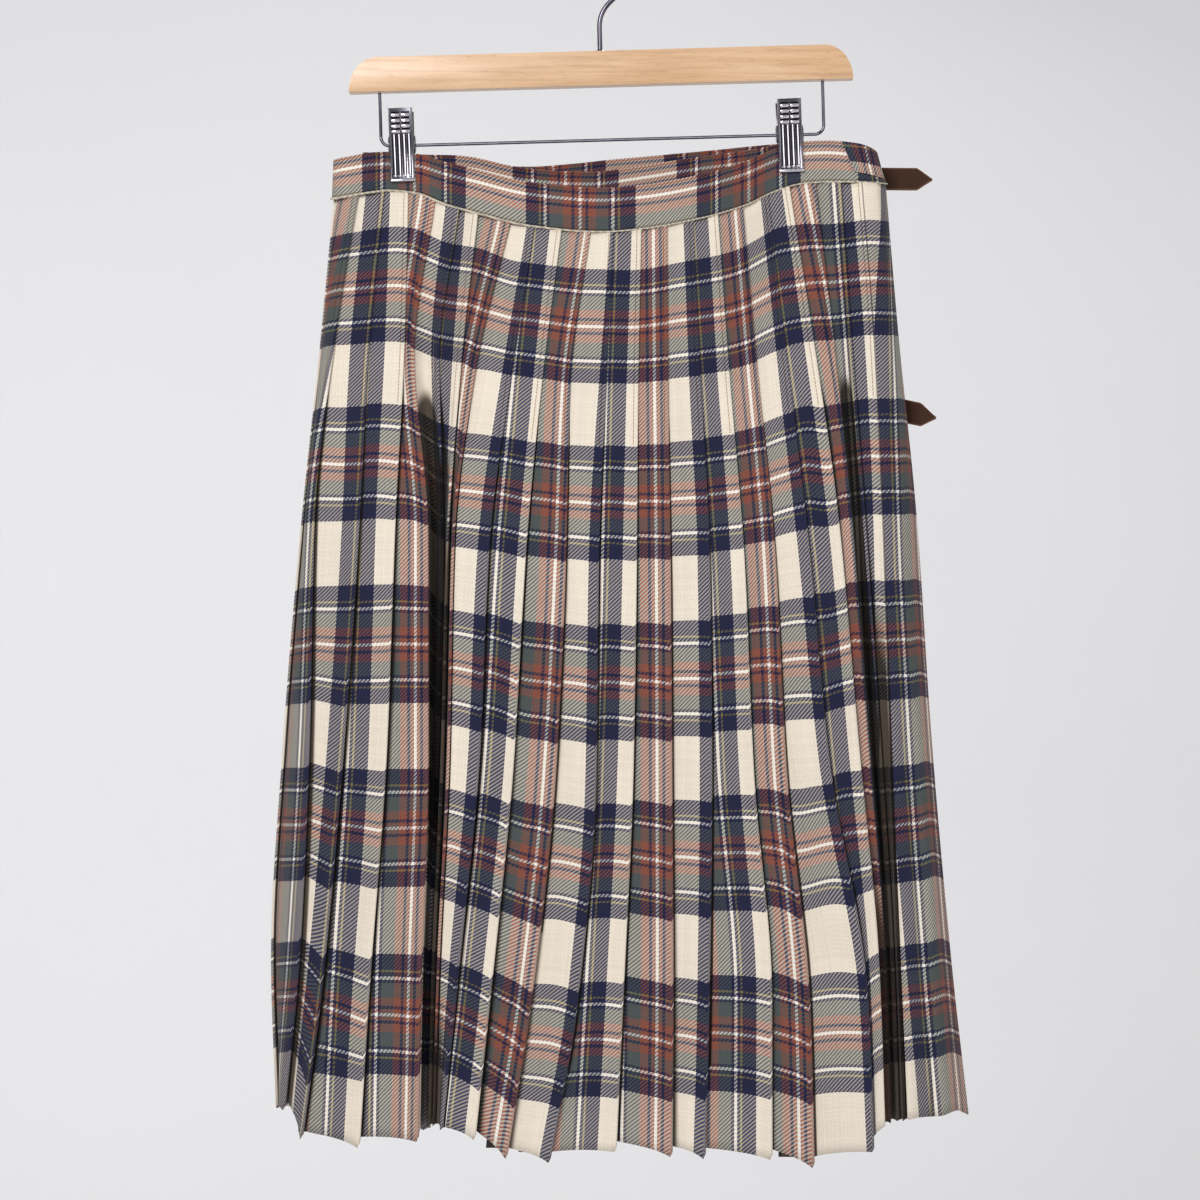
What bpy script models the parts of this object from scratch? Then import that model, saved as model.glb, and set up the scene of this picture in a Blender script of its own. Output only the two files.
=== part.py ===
"""A Scottish kilt on a wooden clip hanger, hung with its pleated back to the front.

Metres, +Z up, +X to the right as the pleats are seen, -Y towards the viewer.
The origin is the inside top of the hanger's crook, where a rail carries it.
"""
import math

import bpy
from mathutils import Vector

MM = 0.001

# The tables below give places as they look on the hanger's plane (y = 0) to an eye at
# VIEW_DISTANCE in front of it; settle() moves each to its true place at its own depth.
VIEW_DISTANCE = 2200.0
VIEW_SIDE = 2.0
VIEW_HEIGHT = -468.0

# Cloth and leather, in millimetres.
CLOTH_WALL = 1.1
BAND_WALL = 2.2
BAND_HEIGHT = 31.0
TURN_WALL = 1.0
STRAP_WALL = 2.5
TAB_WALL = 1.2
SEAM_GAP = 0.4
LAYER_STEPS = (1.5, 1.6, 1.8, 2.0, 2.2, 2.4)
PLEAT_CLOTH = 82.6
PLEAT_PROUD = 1.6
PLEAT_DROP = 8.0
FOLD_MARGIN = 5.5
SHORTEST_UNDERLAY = 2.2
TUCKED = ("p01", "p05", "p06", "p07", "p18", "p19", "p20", "p21")
DROP_UNDERLAY = 16.0
WAIST_UNDERLAY = 9.0
HEM_UNDERLAY = 27.0
MIDDLE_SHARE = 0.55
FIRST_BACKWARD = 3
PLEAT_COLUMNS = 6
FRONT_LENGTH = 648.0
ROWS = 13

# Share of the cloth's length below the waist seam at which the tables are read.
LEVELS = (0.0, 0.165, 0.357, 0.597, 0.837, 1.0)

# One row for each knife pleat, left to right: the place of its folded edge across the kilt
# at each level, and the height of its hem there.
PLEATS = (
    # name, x at the six levels, hem z
    ("p01", (-172.8, -190.0, -204.3, -207.9, -215.1, -225.5), -833.7),
    ("p02", (-153.4, -164.2, -172.1, -183.6, -198.6, -213.0), -854.5),
    ("p03", (-136.2, -139.1, -146.3, -152.7, -164.9, -172.1), -860.9),
    ("p04", (-116.9, -131.9, -122.6, -122.6, -127.5, -129.8), -856.6),
    ("p05", (-100.4, -114.7, -111.5, -115.5, -122.0, -124.5), -848.0),
    ("p06", (-86.8, -99.0, -107.8, -112.0, -118.6, -121.3), -845.9),
    ("p07", (-63.8, -88.9, -104.0, -107.6, -115.0, -117.8), -845.1),
    ("p08", (-45.9, -62.4, -78.5, -86.0, -101.8, -112.6), -848.0),
    ("p09", (-26.5, -40.2, -52.3, -61.7, -77.4, -88.9), -855.2),
    ("p10", (-5.7, -20.1, -23.7, -31.5, -48.8, -66.0), -868.8),
    ("p11", (10.8, 5.7, 0.0, -2.2, -15.8, -35.1), -871.7),
    ("p12", (30.8, 28.7, 27.2, 24.4, 17.2, 12.2), -863.8),
    ("p13", (49.5, 50.2, 51.3, 52.3, 53.1, 52.3), -867.4),
    ("p14", (68.1, 73.1, 79.6, 81.0, 78.9, 76.0), -868.8),
    ("p15", (86.0, 93.9, 104.0, 111.1, 124.0, 124.0), -869.5),
    ("p16", (104.0, 114.0, 126.2, 134.8, 151.3, 154.2), -875.3),
    ("p17", (121.9, 134.8, 149.9, 165.5, 192.5, 197.2), -863.8),
    ("p18", (136.9, 154.2, 172.0, 186.5, 201.5, 205.5), -846.0),
    ("p19", (155.6, 168.0, 181.0, 194.0, 206.5, 210.0), -843.0),
    ("p20", (173.5, 181.0, 190.5, 201.5, 211.5, 215.0), -841.6),
    ("p21", (189.3, 197.9, 204.0, 209.5, 215.5, 219.5), -841.6),
)

# How far a folded edge lies behind the kilt's face where the cloth falls into one of the
# two deep valleys, at the same levels.
FOLD_DEPTHS = {
    "p05": (0.0, 4.0, 12.0, 18.0, 24.0, 26.0),
    "p06": (0.0, 1.5, 6.0, 10.0, 15.0, 17.5),
    "p07": (0.0, 0.0, 0.5, 2.5, 6.5, 9.0),
    "p18": (0.0, 0.0, 0.0, 1.0, 4.0, 5.0),
    "p19": (0.0, 0.0, 1.0, 4.0, 9.5, 11.5),
    "p20": (0.0, 1.5, 5.0, 10.0, 15.5, 18.0),
    "p21": (0.0, 0.0, 1.0, 3.0, 6.5, 9.0),
}

# The floor of each valley, which is the middle of the panel that crosses it: its place
# across the kilt and how far it lies behind the face.
VALLEY_FLOORS = {
    "p05": ((-108.5, -124.0, -117.5, -119.0, -125.0, -127.0),
            (0.8, 9.0, 19.0, 25.0, 31.0, 33.0)),
    "p20": ((164.5, 174.0, 186.0, 198.5, 210.0, 213.0),
            (0.5, 6.0, 10.0, 16.0, 21.5, 24.5)),
}
PLAIN_DIP = (0.2, 0.8, 1.2, 1.6, 2.0, 2.4)
DIP_PANEL = 30.0

# The kilt's outline from the front, at the same levels.
LEFT_OUTLINE = (-189.3, -199.3, -212.2, -225.1, -233.7, -230.2)
RIGHT_OUTLINE = (206.5, 215.8, 228.7, 239.5, 253.8, 266.0)

# How far the body stands out towards the viewer and away from the viewer, at the same levels.
NEAR_BULGE = (38.0, 46.0, 52.0, 55.0, 58.0, 60.0)
FAR_BULGE = (9.0, 14.0, 20.0, 25.0, 29.0, 31.0)
NEAR_ROUNDNESS = 2.6
FAR_ROUNDNESS = 4.0
SHAPE_FROM_WAIST = 0.45

# The waistband's three stretches, from above, each from left to right along its path.
BACK_BAND = (
    # x, depth, waist seam z, lean of the top edge in x, drop of the top edge
    (-189.3, -0.3, -180.5, 1.0, 3.5),
    (-189.2, -2.4, -180.4, 1.0, 3.2),
    (-187.0, -6.0, -180.0, 1.0, 2.8),
    (-180.7, -8.8, -179.0, 0.0, 2.5),
    (-164.0, -7.8, -176.0, 0.0, 2.5),
    (-150.0, -3.6, -174.5, 0.0, 3.2),
    (-129.5, -3.6, -176.5, 0.0, 2.6),
    (-108.0, -12.0, -184.5, 0.0, 0.8),
    (-84.0, -22.0, -191.2, 0.0, 0.0),
    (-48.0, -33.0, -199.8, 0.0, 0.0),
    (2.0, -38.0, -204.1, 0.0, 0.0),
    (31.0, -37.0, -202.0, 0.0, 0.0),
    (70.0, -29.0, -195.1, 0.0, 0.0),
    (104.0, -14.5, -185.5, 0.0, 0.0),
    (128.0, -3.6, -174.8, 0.0, 0.5),
    (148.0, -3.6, -169.4, 0.0, 1.0),
    (168.0, -10.0, -168.3, 0.0, 1.5),
    (187.0, -14.0, -168.3, -1.0, 3.5),
    (200.0, -11.0, -169.0, -4.0, 6.5),
    (206.5, -1.0, -169.5, -7.0, 10.0),
    (202.0, 7.0, -169.5, -5.0, 9.0),
    (190.0, 9.2, -169.4, -2.0, 6.0),
    (177.0, 8.2, -169.3, 0.0, 4.0),
    (165.0, 4.8, -169.2, 0.0, 3.0),
    (157.0, 1.6, -169.2, 0.0, 2.0),
)
UNDER_BAND = (
    (156.3, 1.4, -169.2, 0.0, 2.0),
    (148.0, 0.0, -169.0, 0.0, 1.0),
    (128.0, 0.0, -172.6, 0.0, 0.0),
    (108.0, -0.6, -176.5, 0.0, 0.0),
    (67.0, -2.0, -182.0, 0.0, 0.0),
    (30.0, -3.0, -188.0, 0.0, 0.0),
    (-5.0, -4.0, -192.1, 0.0, 0.0),
    (-26.0, -3.5, -191.5, 0.0, 0.0),
    (-57.0, -2.5, -188.5, 0.0, 0.0),
    (-92.0, -1.0, -180.5, 0.0, 0.5),
    (-129.5, 0.0, -175.8, 0.0, 3.5),
    (-150.0, 0.0, -174.2, 0.0, 3.8),
    (-168.0, 1.6, -175.0, 0.0, 3.0),
)
OVER_BAND = (
    (-189.3, 0.3, -180.5, 1.0, 3.5),
    (-189.2, 2.2, -180.4, 1.0, 3.2),
    (-186.5, 5.8, -180.0, 0.5, 3.0),
    (-180.0, 8.0, -179.5, 0.0, 2.5),
    (-165.0, 7.2, -178.5, 0.0, 2.5),
    (-150.0, 3.6, -177.5, 0.0, 2.5),
    (-129.5, 3.6, -178.0, 0.0, 2.0),
    (-105.0, 4.6, -182.5, 0.0, 0.5),
    (-75.0, 5.8, -187.4, 0.0, 0.0),
    (-48.0, 6.8, -188.2, 0.0, 0.0),
    (-20.0, 7.4, -186.4, 0.0, 0.0),
    (7.0, 7.5, -183.5, 0.0, 0.0),
    (45.0, 7.0, -180.0, 0.0, 0.0),
    (90.0, 5.2, -175.8, 0.0, 0.0),
    (128.0, 3.6, -171.6, 0.0, 0.5),
    (148.0, 3.6, -169.8, 0.0, 1.0),
    (157.0, 5.6, -169.6, 0.0, 1.5),
    (165.0, 8.6, -169.4, 0.0, 2.0),
    (172.0, 11.2, -169.2, 0.0, 2.0),
)
BACK_BAND_NEAR = 20
BAND_STEPS = 2
TURN_FROM = 174.0
TURN_TO = 204.5

# Hem heights where the cloth turns round the right side, with the place of each column as a
# share of the way from the last pleat to the outline, or as an inset from the outline.
RIGHT_TURN = (
    # share of the way, hem z
    (0.30, -838.7),
    (0.58, -838.0),
    (0.84, -834.0),
    (1.00, -837.0),
)
FAR_TURN = (
    # inset, hem z
    (3.0, -833.0),
    (14.0, -829.0),
    (30.0, -823.0),
    (49.5, -818.5),
)
SIDE_START = 16.0
SIDE_TURN = 8.0
SIDE_FOLD_INSET = 0.4
WAIST_FOLD_INSET = 2.5
SIDE_FOLD_STEP = 9.0
SIDE_HEM = -832.2
SIDE_ROUND = 2.2
EXTREME_BACK = 2.0

JOINT_GAP = 0.6
OVER_SET_BACK = 0.2
APRON_GAPS = (3.0, 3.6, 4.0, 4.2, 4.2, 4.2)
APRON_COLUMNS = 26
OVER_EDGE_INSET = 34.5
UNDER_EDGE_INSET = 28.0
DRAPE_HEIGHT = 3.0
DRAPE_WIDTH = 118.0

# Straps and buckles on the hidden side, each worked out from the kilt's right outline.
STRAPS = (
    # name, z, height, droop of the tail, root inset, tip x, clearance from the cloth
    ("upper", -163.6, 16.0, 0.02, 54.0, 242.0, 0.7),
    ("lower", -331.4, 17.0, 0.22, 70.0, 244.7, 1.2),
)
STRAP_POINT = 11.0
HEEL_INSET = 11.0
BUCKLE_LENGTH = 16.0
BUCKLE_HEIGHT = 24.0
BUCKLE_WIRE = 1.1
TAB_LEG = 13.0
TAB_RETURN = 7.0
TAB_HEIGHT = 13.0

# Hanger, in its own upright position; it is turned by HANGER_TILT about the crook.
HANGER_TILT = math.radians(1.6)
BAR_HALF_LENGTH = 180.5
BAR_TOP = -75.2
BAR_BOTTOM = -99.8
BAR_DEPTH = 12.0
BAR_END = 20.0
BAR_ROUNDING = 2.0
HOOK_WIRE = 1.75
CROOK_RADIUS = 19.0
CROOK_FROM = -50.0
CROOK_TO = 205.0
STEM_BEND = -58.0
ROD_WIRE = 1.15
ROD_Z = -138.3
LEG_X = 158.8
LEG_BEND = 6.5

# Clips, each on the rod at its x, with its plates splayed at the top and shut on the band.
CLIPS = (
    # name, x, z of the middle
    ("left", -139.8, -142.8),
    ("right", 138.0, -136.0),
)
CLIP_LEAN = math.radians(-2.4)
CLIP_WIDTH = 17.2
CLIP_HEIGHT = 52.3
CLIP_WALL = 1.2
JAW_Y = 5.0
CLIP_SPLAY = 4.4
LIP_HEIGHT = 2.4
LIP_WALL = 2.0
SPRING_RADIUS = 4.65
SPRING_BORE = 1.5
SPRING_LENGTH = 10.0
SPRING_SIDES = 20

COLLECTION = "Scottish kilt"


def clear_scene():
    """Remove what the file holds, so that the kilt stands alone."""
    for thing in list(bpy.data.objects):
        bpy.data.objects.remove(thing, do_unlink=True)


def make_collection(name):
    group = bpy.data.collections.new(name)
    bpy.context.scene.collection.children.link(group)
    return group


def make_material(name, colour, roughness, metallic=0.0):
    """A plain Principled finish in the piece's own colour."""
    material = bpy.data.materials.new(name)
    material.use_nodes = True
    shader = material.node_tree.nodes["Principled BSDF"]
    shader.inputs["Base Color"].default_value = (*colour, 1.0)
    shader.inputs["Roughness"].default_value = roughness
    shader.inputs["Metallic"].default_value = metallic
    material.diffuse_color = (*colour, 1.0)
    return material


def slopes_through(places, values):
    """Slopes at each place for a curve that never overshoots its values."""
    steps = [(values[i + 1] - values[i]) / (places[i + 1] - places[i])
             for i in range(len(places) - 1)]
    slopes = [steps[0]]
    for before, after in zip(steps, steps[1:]):
        if before * after <= 0.0:
            slopes.append(0.0)
        else:
            slopes.append(2.0 * before * after / (before + after))
    slopes.append(steps[-1])
    return slopes


def read_curve(places, values, place):
    """The value at a place on the smooth curve through a short table."""
    if place <= places[0]:
        return values[0]
    if place >= places[-1]:
        return values[-1]
    slopes = slopes_through(places, values)
    index = max(i for i in range(len(places) - 1) if places[i] <= place)
    width = places[index + 1] - places[index]
    share = (place - places[index]) / width
    rest = 1.0 - share
    return (values[index] * (1.0 + 2.0 * share) * rest * rest
            + slopes[index] * width * share * rest * rest
            + values[index + 1] * share * share * (3.0 - 2.0 * share)
            - slopes[index + 1] * width * share * share * rest)


def at_level(values, level):
    return read_curve(LEVELS, values, level)


def settle(x, depth, z):
    """The true place of a point that looks to be at x, z and lies at this depth."""
    spread = 1.0 + depth / VIEW_DISTANCE
    return Vector((VIEW_SIDE + (x - VIEW_SIDE) * spread,
                   depth,
                   VIEW_HEIGHT + (z - VIEW_HEIGHT) * spread))


def band_path(table, steps):
    """Columns along a stretch of band: foot, and the lean and drop of its top edge."""
    travelled = [0.0]
    for row, following in zip(table, table[1:]):
        travelled.append(travelled[-1] + math.hypot(following[0] - row[0],
                                                    following[1] - row[1]))
    channels = list(zip(*table))
    columns = []
    for index in range(len(table) - 1):
        for step in range(steps):
            share = step / steps
            place = travelled[index] * (1.0 - share) + travelled[index + 1] * share
            columns.append([read_curve(travelled, channel, place) for channel in channels])
    columns.append(list(table[-1]))
    return [(settle(x, depth, z), lean, drop) for x, depth, z, lean, drop in columns]


def link_mesh(name, mesh, material, group):
    thing = bpy.data.objects.new(name, mesh)
    thing.data.materials.append(material)
    group.objects.link(thing)
    return thing


def sheet_object(name, columns, wall, material, group, backward=()):
    """A wall of cloth or leather: a grid through columns of points, then Solidify.

    Stretches listed as backward run against the rest, so their faces are cut on the other
    diagonal and the layers of a pleat stay parallel.
    """
    points = []
    for column in columns:
        points.extend(Vector(point) * MM for point in column)
    height = len(columns[0])
    faces = []
    for across in range(len(columns) - 1):
        for up in range(height - 1):
            low, low_next = across * height + up, (across + 1) * height + up
            if across in backward:
                faces.append((low, low_next, low_next + 1))
                faces.append((low, low_next + 1, low + 1))
            else:
                faces.append((low, low_next, low + 1))
                faces.append((low_next, low_next + 1, low + 1))
    mesh = bpy.data.meshes.new(name)
    mesh.from_pydata(points, [], faces)
    thing = link_mesh(name, mesh, material, group)
    solidify = thing.modifiers.new("wall", "SOLIDIFY")
    solidify.thickness = wall * MM
    solidify.offset = 0.0
    solidify.use_even_offset = True
    return thing


def tube_object(name, points, radius, material, group, cyclic=False, resolution=2):
    """A wire along a route."""
    curve = bpy.data.curves.new(name, "CURVE")
    curve.dimensions = "3D"
    curve.bevel_depth = radius * MM
    curve.bevel_resolution = resolution
    curve.use_fill_caps = not cyclic
    spline = curve.splines.new("POLY")
    spline.points.add(len(points) - 1)
    for slot, point in zip(spline.points, points):
        slot.co = (*(Vector(point) * MM), 1.0)
    spline.use_cyclic_u = cyclic
    thing = bpy.data.objects.new(name, curve)
    curve.materials.append(material)
    group.objects.link(thing)
    return thing


def across_share(x, level):
    """Place across the kilt, from -1 at the left outline to 1 at the right one."""
    left = at_level(LEFT_OUTLINE, level)
    right = at_level(RIGHT_OUTLINE, level)
    middle = 0.5 * (left + right)
    return max(-1.0, min(1.0, (x - middle) / (0.5 * (right - left))))


def at_waist(x, level):
    """The place on the waist from which the cloth at x hangs."""
    left = LEFT_OUTLINE[0]
    right = RIGHT_OUTLINE[0]
    return 0.5 * (left + right) + across_share(x, level) * 0.5 * (right - left)


def depth_on(rows, x):
    """Depth of a stretch of waistband at a place across the kilt."""
    ordered = sorted(rows, key=lambda row: row[0])
    return read_curve([row[0] for row in ordered], [row[1] for row in ordered], x)


def body_share(level):
    """How far the section has gone from the waistband's path to the body's own round."""
    share = min(1.0, level / SHAPE_FROM_WAIST)
    return share * share * (3.0 - 2.0 * share)


def near_depth(x, level):
    """Depth of the pleated face."""
    out = 1.0 - abs(across_share(x, level)) ** NEAR_ROUNDNESS
    body = -at_level(NEAR_BULGE, level) * math.sqrt(max(0.0, out))
    waist = depth_on(BACK_BAND[:BACK_BAND_NEAR], at_waist(x, level)) - PLEAT_PROUD
    share = body_share(level)
    return waist * (1.0 - share) + body * share


def far_body(x, level):
    """Depth of the hidden side's own round, with its soft upright waves."""
    out = max(0.0, 1.0 - abs(across_share(x, level)) ** FAR_ROUNDNESS)
    body = at_level(FAR_BULGE, level) * out ** (1.0 / FAR_ROUNDNESS)
    wave = DRAPE_HEIGHT * level * math.sin(2.0 * math.pi * x / DRAPE_WIDTH)
    return body + wave * min(1.0, out * 2.0)


def over_depth(x, level):
    """Depth of the over apron."""
    waist = depth_on(OVER_BAND, at_waist(x, level)) + OVER_SET_BACK
    share = body_share(level)
    return waist * (1.0 - share) + far_body(x, level) * share


def under_depth(x, level):
    """Depth of the under apron."""
    return over_depth(x, level) - at_level(APRON_GAPS, level)


def wrap_depth(x, level):
    """Depth of the pleated cloth where it has turned to the hidden side."""
    waist = depth_on(BACK_BAND[BACK_BAND_NEAR - 1:], at_waist(x, level))
    share = body_share(level)
    body = far_body(x, level) - at_level(APRON_GAPS, level)
    return waist * (1.0 - share) + body * share


def seam_finder(paths):
    """Height of the waist seam on the true path nearest to a place."""
    feet = [foot for foot, lean, drop in paths]

    def height(point):
        best = None
        for first, second in zip(feet, feet[1:]):
            flat = Vector((second.x - first.x, second.y - first.y))
            offset = Vector((point.x - first.x, point.y - first.y))
            share = max(0.0, min(1.0, offset.dot(flat) / max(flat.length_squared, 1e-9)))
            away = (offset - flat * share).length
            z = first.z * (1.0 - share) + second.z * share
            if best is None or away < best[0]:
                best = (away, z)
        return best[1]
    return height


def turned(direction):
    """The direction into the kilt from a panel that runs this way."""
    return Vector((-direction.y, direction.x))


def back_section(level):
    """The pleated cloth's path at one level, as flat points with the hem height of each."""
    left = at_level(LEFT_OUTLINE, level)
    right = at_level(RIGHT_OUTLINE, level)
    section = []
    body = body_share(level)

    def true_flat(x, depth):
        place = settle(x, depth, 0.0)
        return Vector((place.x, place.y))

    # The cloth comes from the over apron, turns the left side and folds there.
    start = true_flat(left + SIDE_START, over_depth(left + SIDE_START, level))
    turn = true_flat(left + SIDE_TURN, over_depth(left + SIDE_TURN, level))
    inset = WAIST_FOLD_INSET + (SIDE_FOLD_INSET - WAIST_FOLD_INSET) * body
    fold = true_flat(left + inset, turn.y - SIDE_FOLD_STEP)
    section.append((start, SIDE_HEM))
    section.append((turn, SIDE_HEM))
    folds = [(fold, "side", SIDE_HEM)]
    for name, places, hem in PLEATS:
        x = at_level(places, level)
        behind = at_level(FOLD_DEPTHS.get(name, (0.0,) * len(LEVELS)), level)
        folds.append((true_flat(x, near_depth(x, level) + behind), name, hem))

    middle = turn
    emerging = turn
    for index, (fold, name, hem) in enumerate(folds):
        panel = fold - emerging
        if name == "p01":
            middle = emerging.lerp(fold, 0.5) - turned(panel.normalized()) * SIDE_ROUND
        elif name in VALLEY_FLOORS:
            places, behind = VALLEY_FLOORS[name]
            x = at_level(places, level)
            middle = true_flat(x, near_depth(x, level) + at_level(behind, level))
        elif index:
            dip = at_level(PLAIN_DIP, level) * min(1.0, panel.length / DIP_PANEL)
            middle = emerging.lerp(fold, MIDDLE_SHARE) + turned(panel.normalized()) * dip
        if index:
            section.append((middle, 0.5 * (hem + folds[index - 1][2] + PLEAT_DROP)))
        along = (fold - middle).normalized()
        inward = turned(along)
        under = min(0.5 * (PLEAT_CLOTH - panel.length), panel.length - FOLD_MARGIN,
                    WAIST_UNDERLAY + (HEM_UNDERLAY - WAIST_UNDERLAY) * level)
        if name in TUCKED:
            under = 0.9 * (fold - middle).length
        under = max(SHORTEST_UNDERLAY, under)
        step = min(at_level(LAYER_STEPS, level), max(LAYER_STEPS[0], 0.2 * panel.length))
        hidden_hem = hem + PLEAT_DROP * min(1.0, under / DROP_UNDERLAY)
        section.append((fold, hem))
        section.append((fold + inward * step, 0.7 * hem + 0.3 * hidden_hem))
        section.append((fold + inward * step - along * under, hidden_hem))
        section.append((fold + inward * 2.0 * step - along * under, hidden_hem))
        emerging = fold + inward * 2.0 * step
        section.append((emerging, hidden_hem))

    # The last stretch is plain: it flares to the outline and turns to the hidden side.
    last = at_level(PLEATS[-1][1], level)
    for share, hem in RIGHT_TURN:
        x = last + (right - last) * share
        depth = EXTREME_BACK if share == 1.0 else near_depth(x, level)
        section.append((true_flat(x, depth), hem))
    for inset, hem in FAR_TURN:
        section.append((true_flat(right - inset, wrap_depth(right - inset, level)), hem))
    return section


def sheet_columns(sections, levels, seam_height):
    """Upright columns of points from the sections at every level."""
    columns = []
    for index in range(len(sections[0])):
        top = sections[0][index][0]
        top_z = seam_height(top) - SEAM_GAP
        column = []
        for section, level in zip(sections, levels):
            flat, hem = section[index]
            hem_z = settle(0.0, flat.y, hem).z
            column.append(Vector((flat.x, flat.y, top_z + (hem_z - top_z) * level)))
        columns.append(column)
    return columns


def levels_of(count):
    return [index / (count - 1) for index in range(count)]


def make_pleated_back(seam_height, material, group):
    levels = levels_of(ROWS)
    sections = [back_section(level) for level in levels]
    columns = sheet_columns(sections, levels, seam_height)
    backward = range(FIRST_BACKWARD, FIRST_BACKWARD + PLEAT_COLUMNS * (len(PLEATS) + 1),
                     PLEAT_COLUMNS)
    return sheet_object("pleated_back", columns, CLOTH_WALL, material, group, backward)


def make_apron(name, edge_from, edge_to, depth_at, seam_height, material, group):
    """One of the two plain front panels, between two edges given level by level."""
    levels = levels_of(ROWS)
    sections = []
    for level in levels:
        first = edge_from(level)
        last = edge_to(level)
        section = []
        for index in range(APRON_COLUMNS):
            x = first + (last - first) * index / (APRON_COLUMNS - 1)
            place = settle(x, depth_at(x, level), 0.0)
            section.append((Vector((place.x, place.y)), 0.0))
        sections.append(section)
    columns = []
    for index in range(APRON_COLUMNS):
        top_z = seam_height(sections[0][index][0]) - SEAM_GAP
        column = []
        for section, level in zip(sections, levels):
            flat = section[index][0]
            column.append(Vector((flat.x, flat.y, top_z - FRONT_LENGTH * level)))
        columns.append(column)
    return sheet_object(name, columns, CLOTH_WALL, material, group)


def make_band(name, path, material, group):
    """One stretch of the waistband, standing on the waist seam."""
    columns = []
    for foot, lean, drop in path:
        top = foot + Vector((lean, 0.0, BAND_HEIGHT - drop))
        columns.append((foot, foot.lerp(top, 0.5), top))
    return sheet_object(name, columns, BAND_WALL, material, group)


def make_turn(path, material, group):
    """The corner strip that lies on the right end of the band, made from its points."""
    clearance = 0.5 * BAND_WALL + SEAM_GAP + 0.5 * TURN_WALL
    chosen = [index for index, (foot, lean, drop) in enumerate(path)
              if TURN_FROM < foot.x < TURN_TO and foot.y < 0.0]
    columns = []
    for rank, index in enumerate(chosen):
        foot, lean, drop = path[index]
        along = path[index + 1][0] - path[index - 1][0]
        outward = -turned(Vector((along.x, along.y)).normalized())
        shift = Vector((outward.x, outward.y, 0.0)) * clearance
        top = foot + Vector((lean, 0.0, BAND_HEIGHT - drop))
        low_share = 0.42 - 0.26 * rank / (len(chosen) - 1)
        columns.append((foot.lerp(top, low_share) + shift,
                        foot.lerp(top, 0.5 * (1.0 + low_share)) + shift,
                        top + shift))
    return sheet_object("waistband_turn", columns, TURN_WALL, material, group)


def strap_level(z):
    """The share of the cloth's length at which a strap's height lies."""
    return max(0.0, (-170.0 - z) / FRONT_LENGTH)


def strap_surfaces(name, z):
    """Depth of the outer face under a strap, on the over piece and on the turned cloth."""
    level = strap_level(z)
    if name == "upper":
        def over(x):
            return depth_on(OVER_BAND, x) + 0.5 * BAND_WALL

        def turned_cloth(x):
            return depth_on(BACK_BAND[BACK_BAND_NEAR - 1:], x) + 0.5 * BAND_WALL
    else:
        def over(x):
            return over_depth(x, level) + 0.5 * CLOTH_WALL

        def turned_cloth(x):
            return wrap_depth(x, level) + 0.5 * CLOTH_WALL
    return over, turned_cloth


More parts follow.
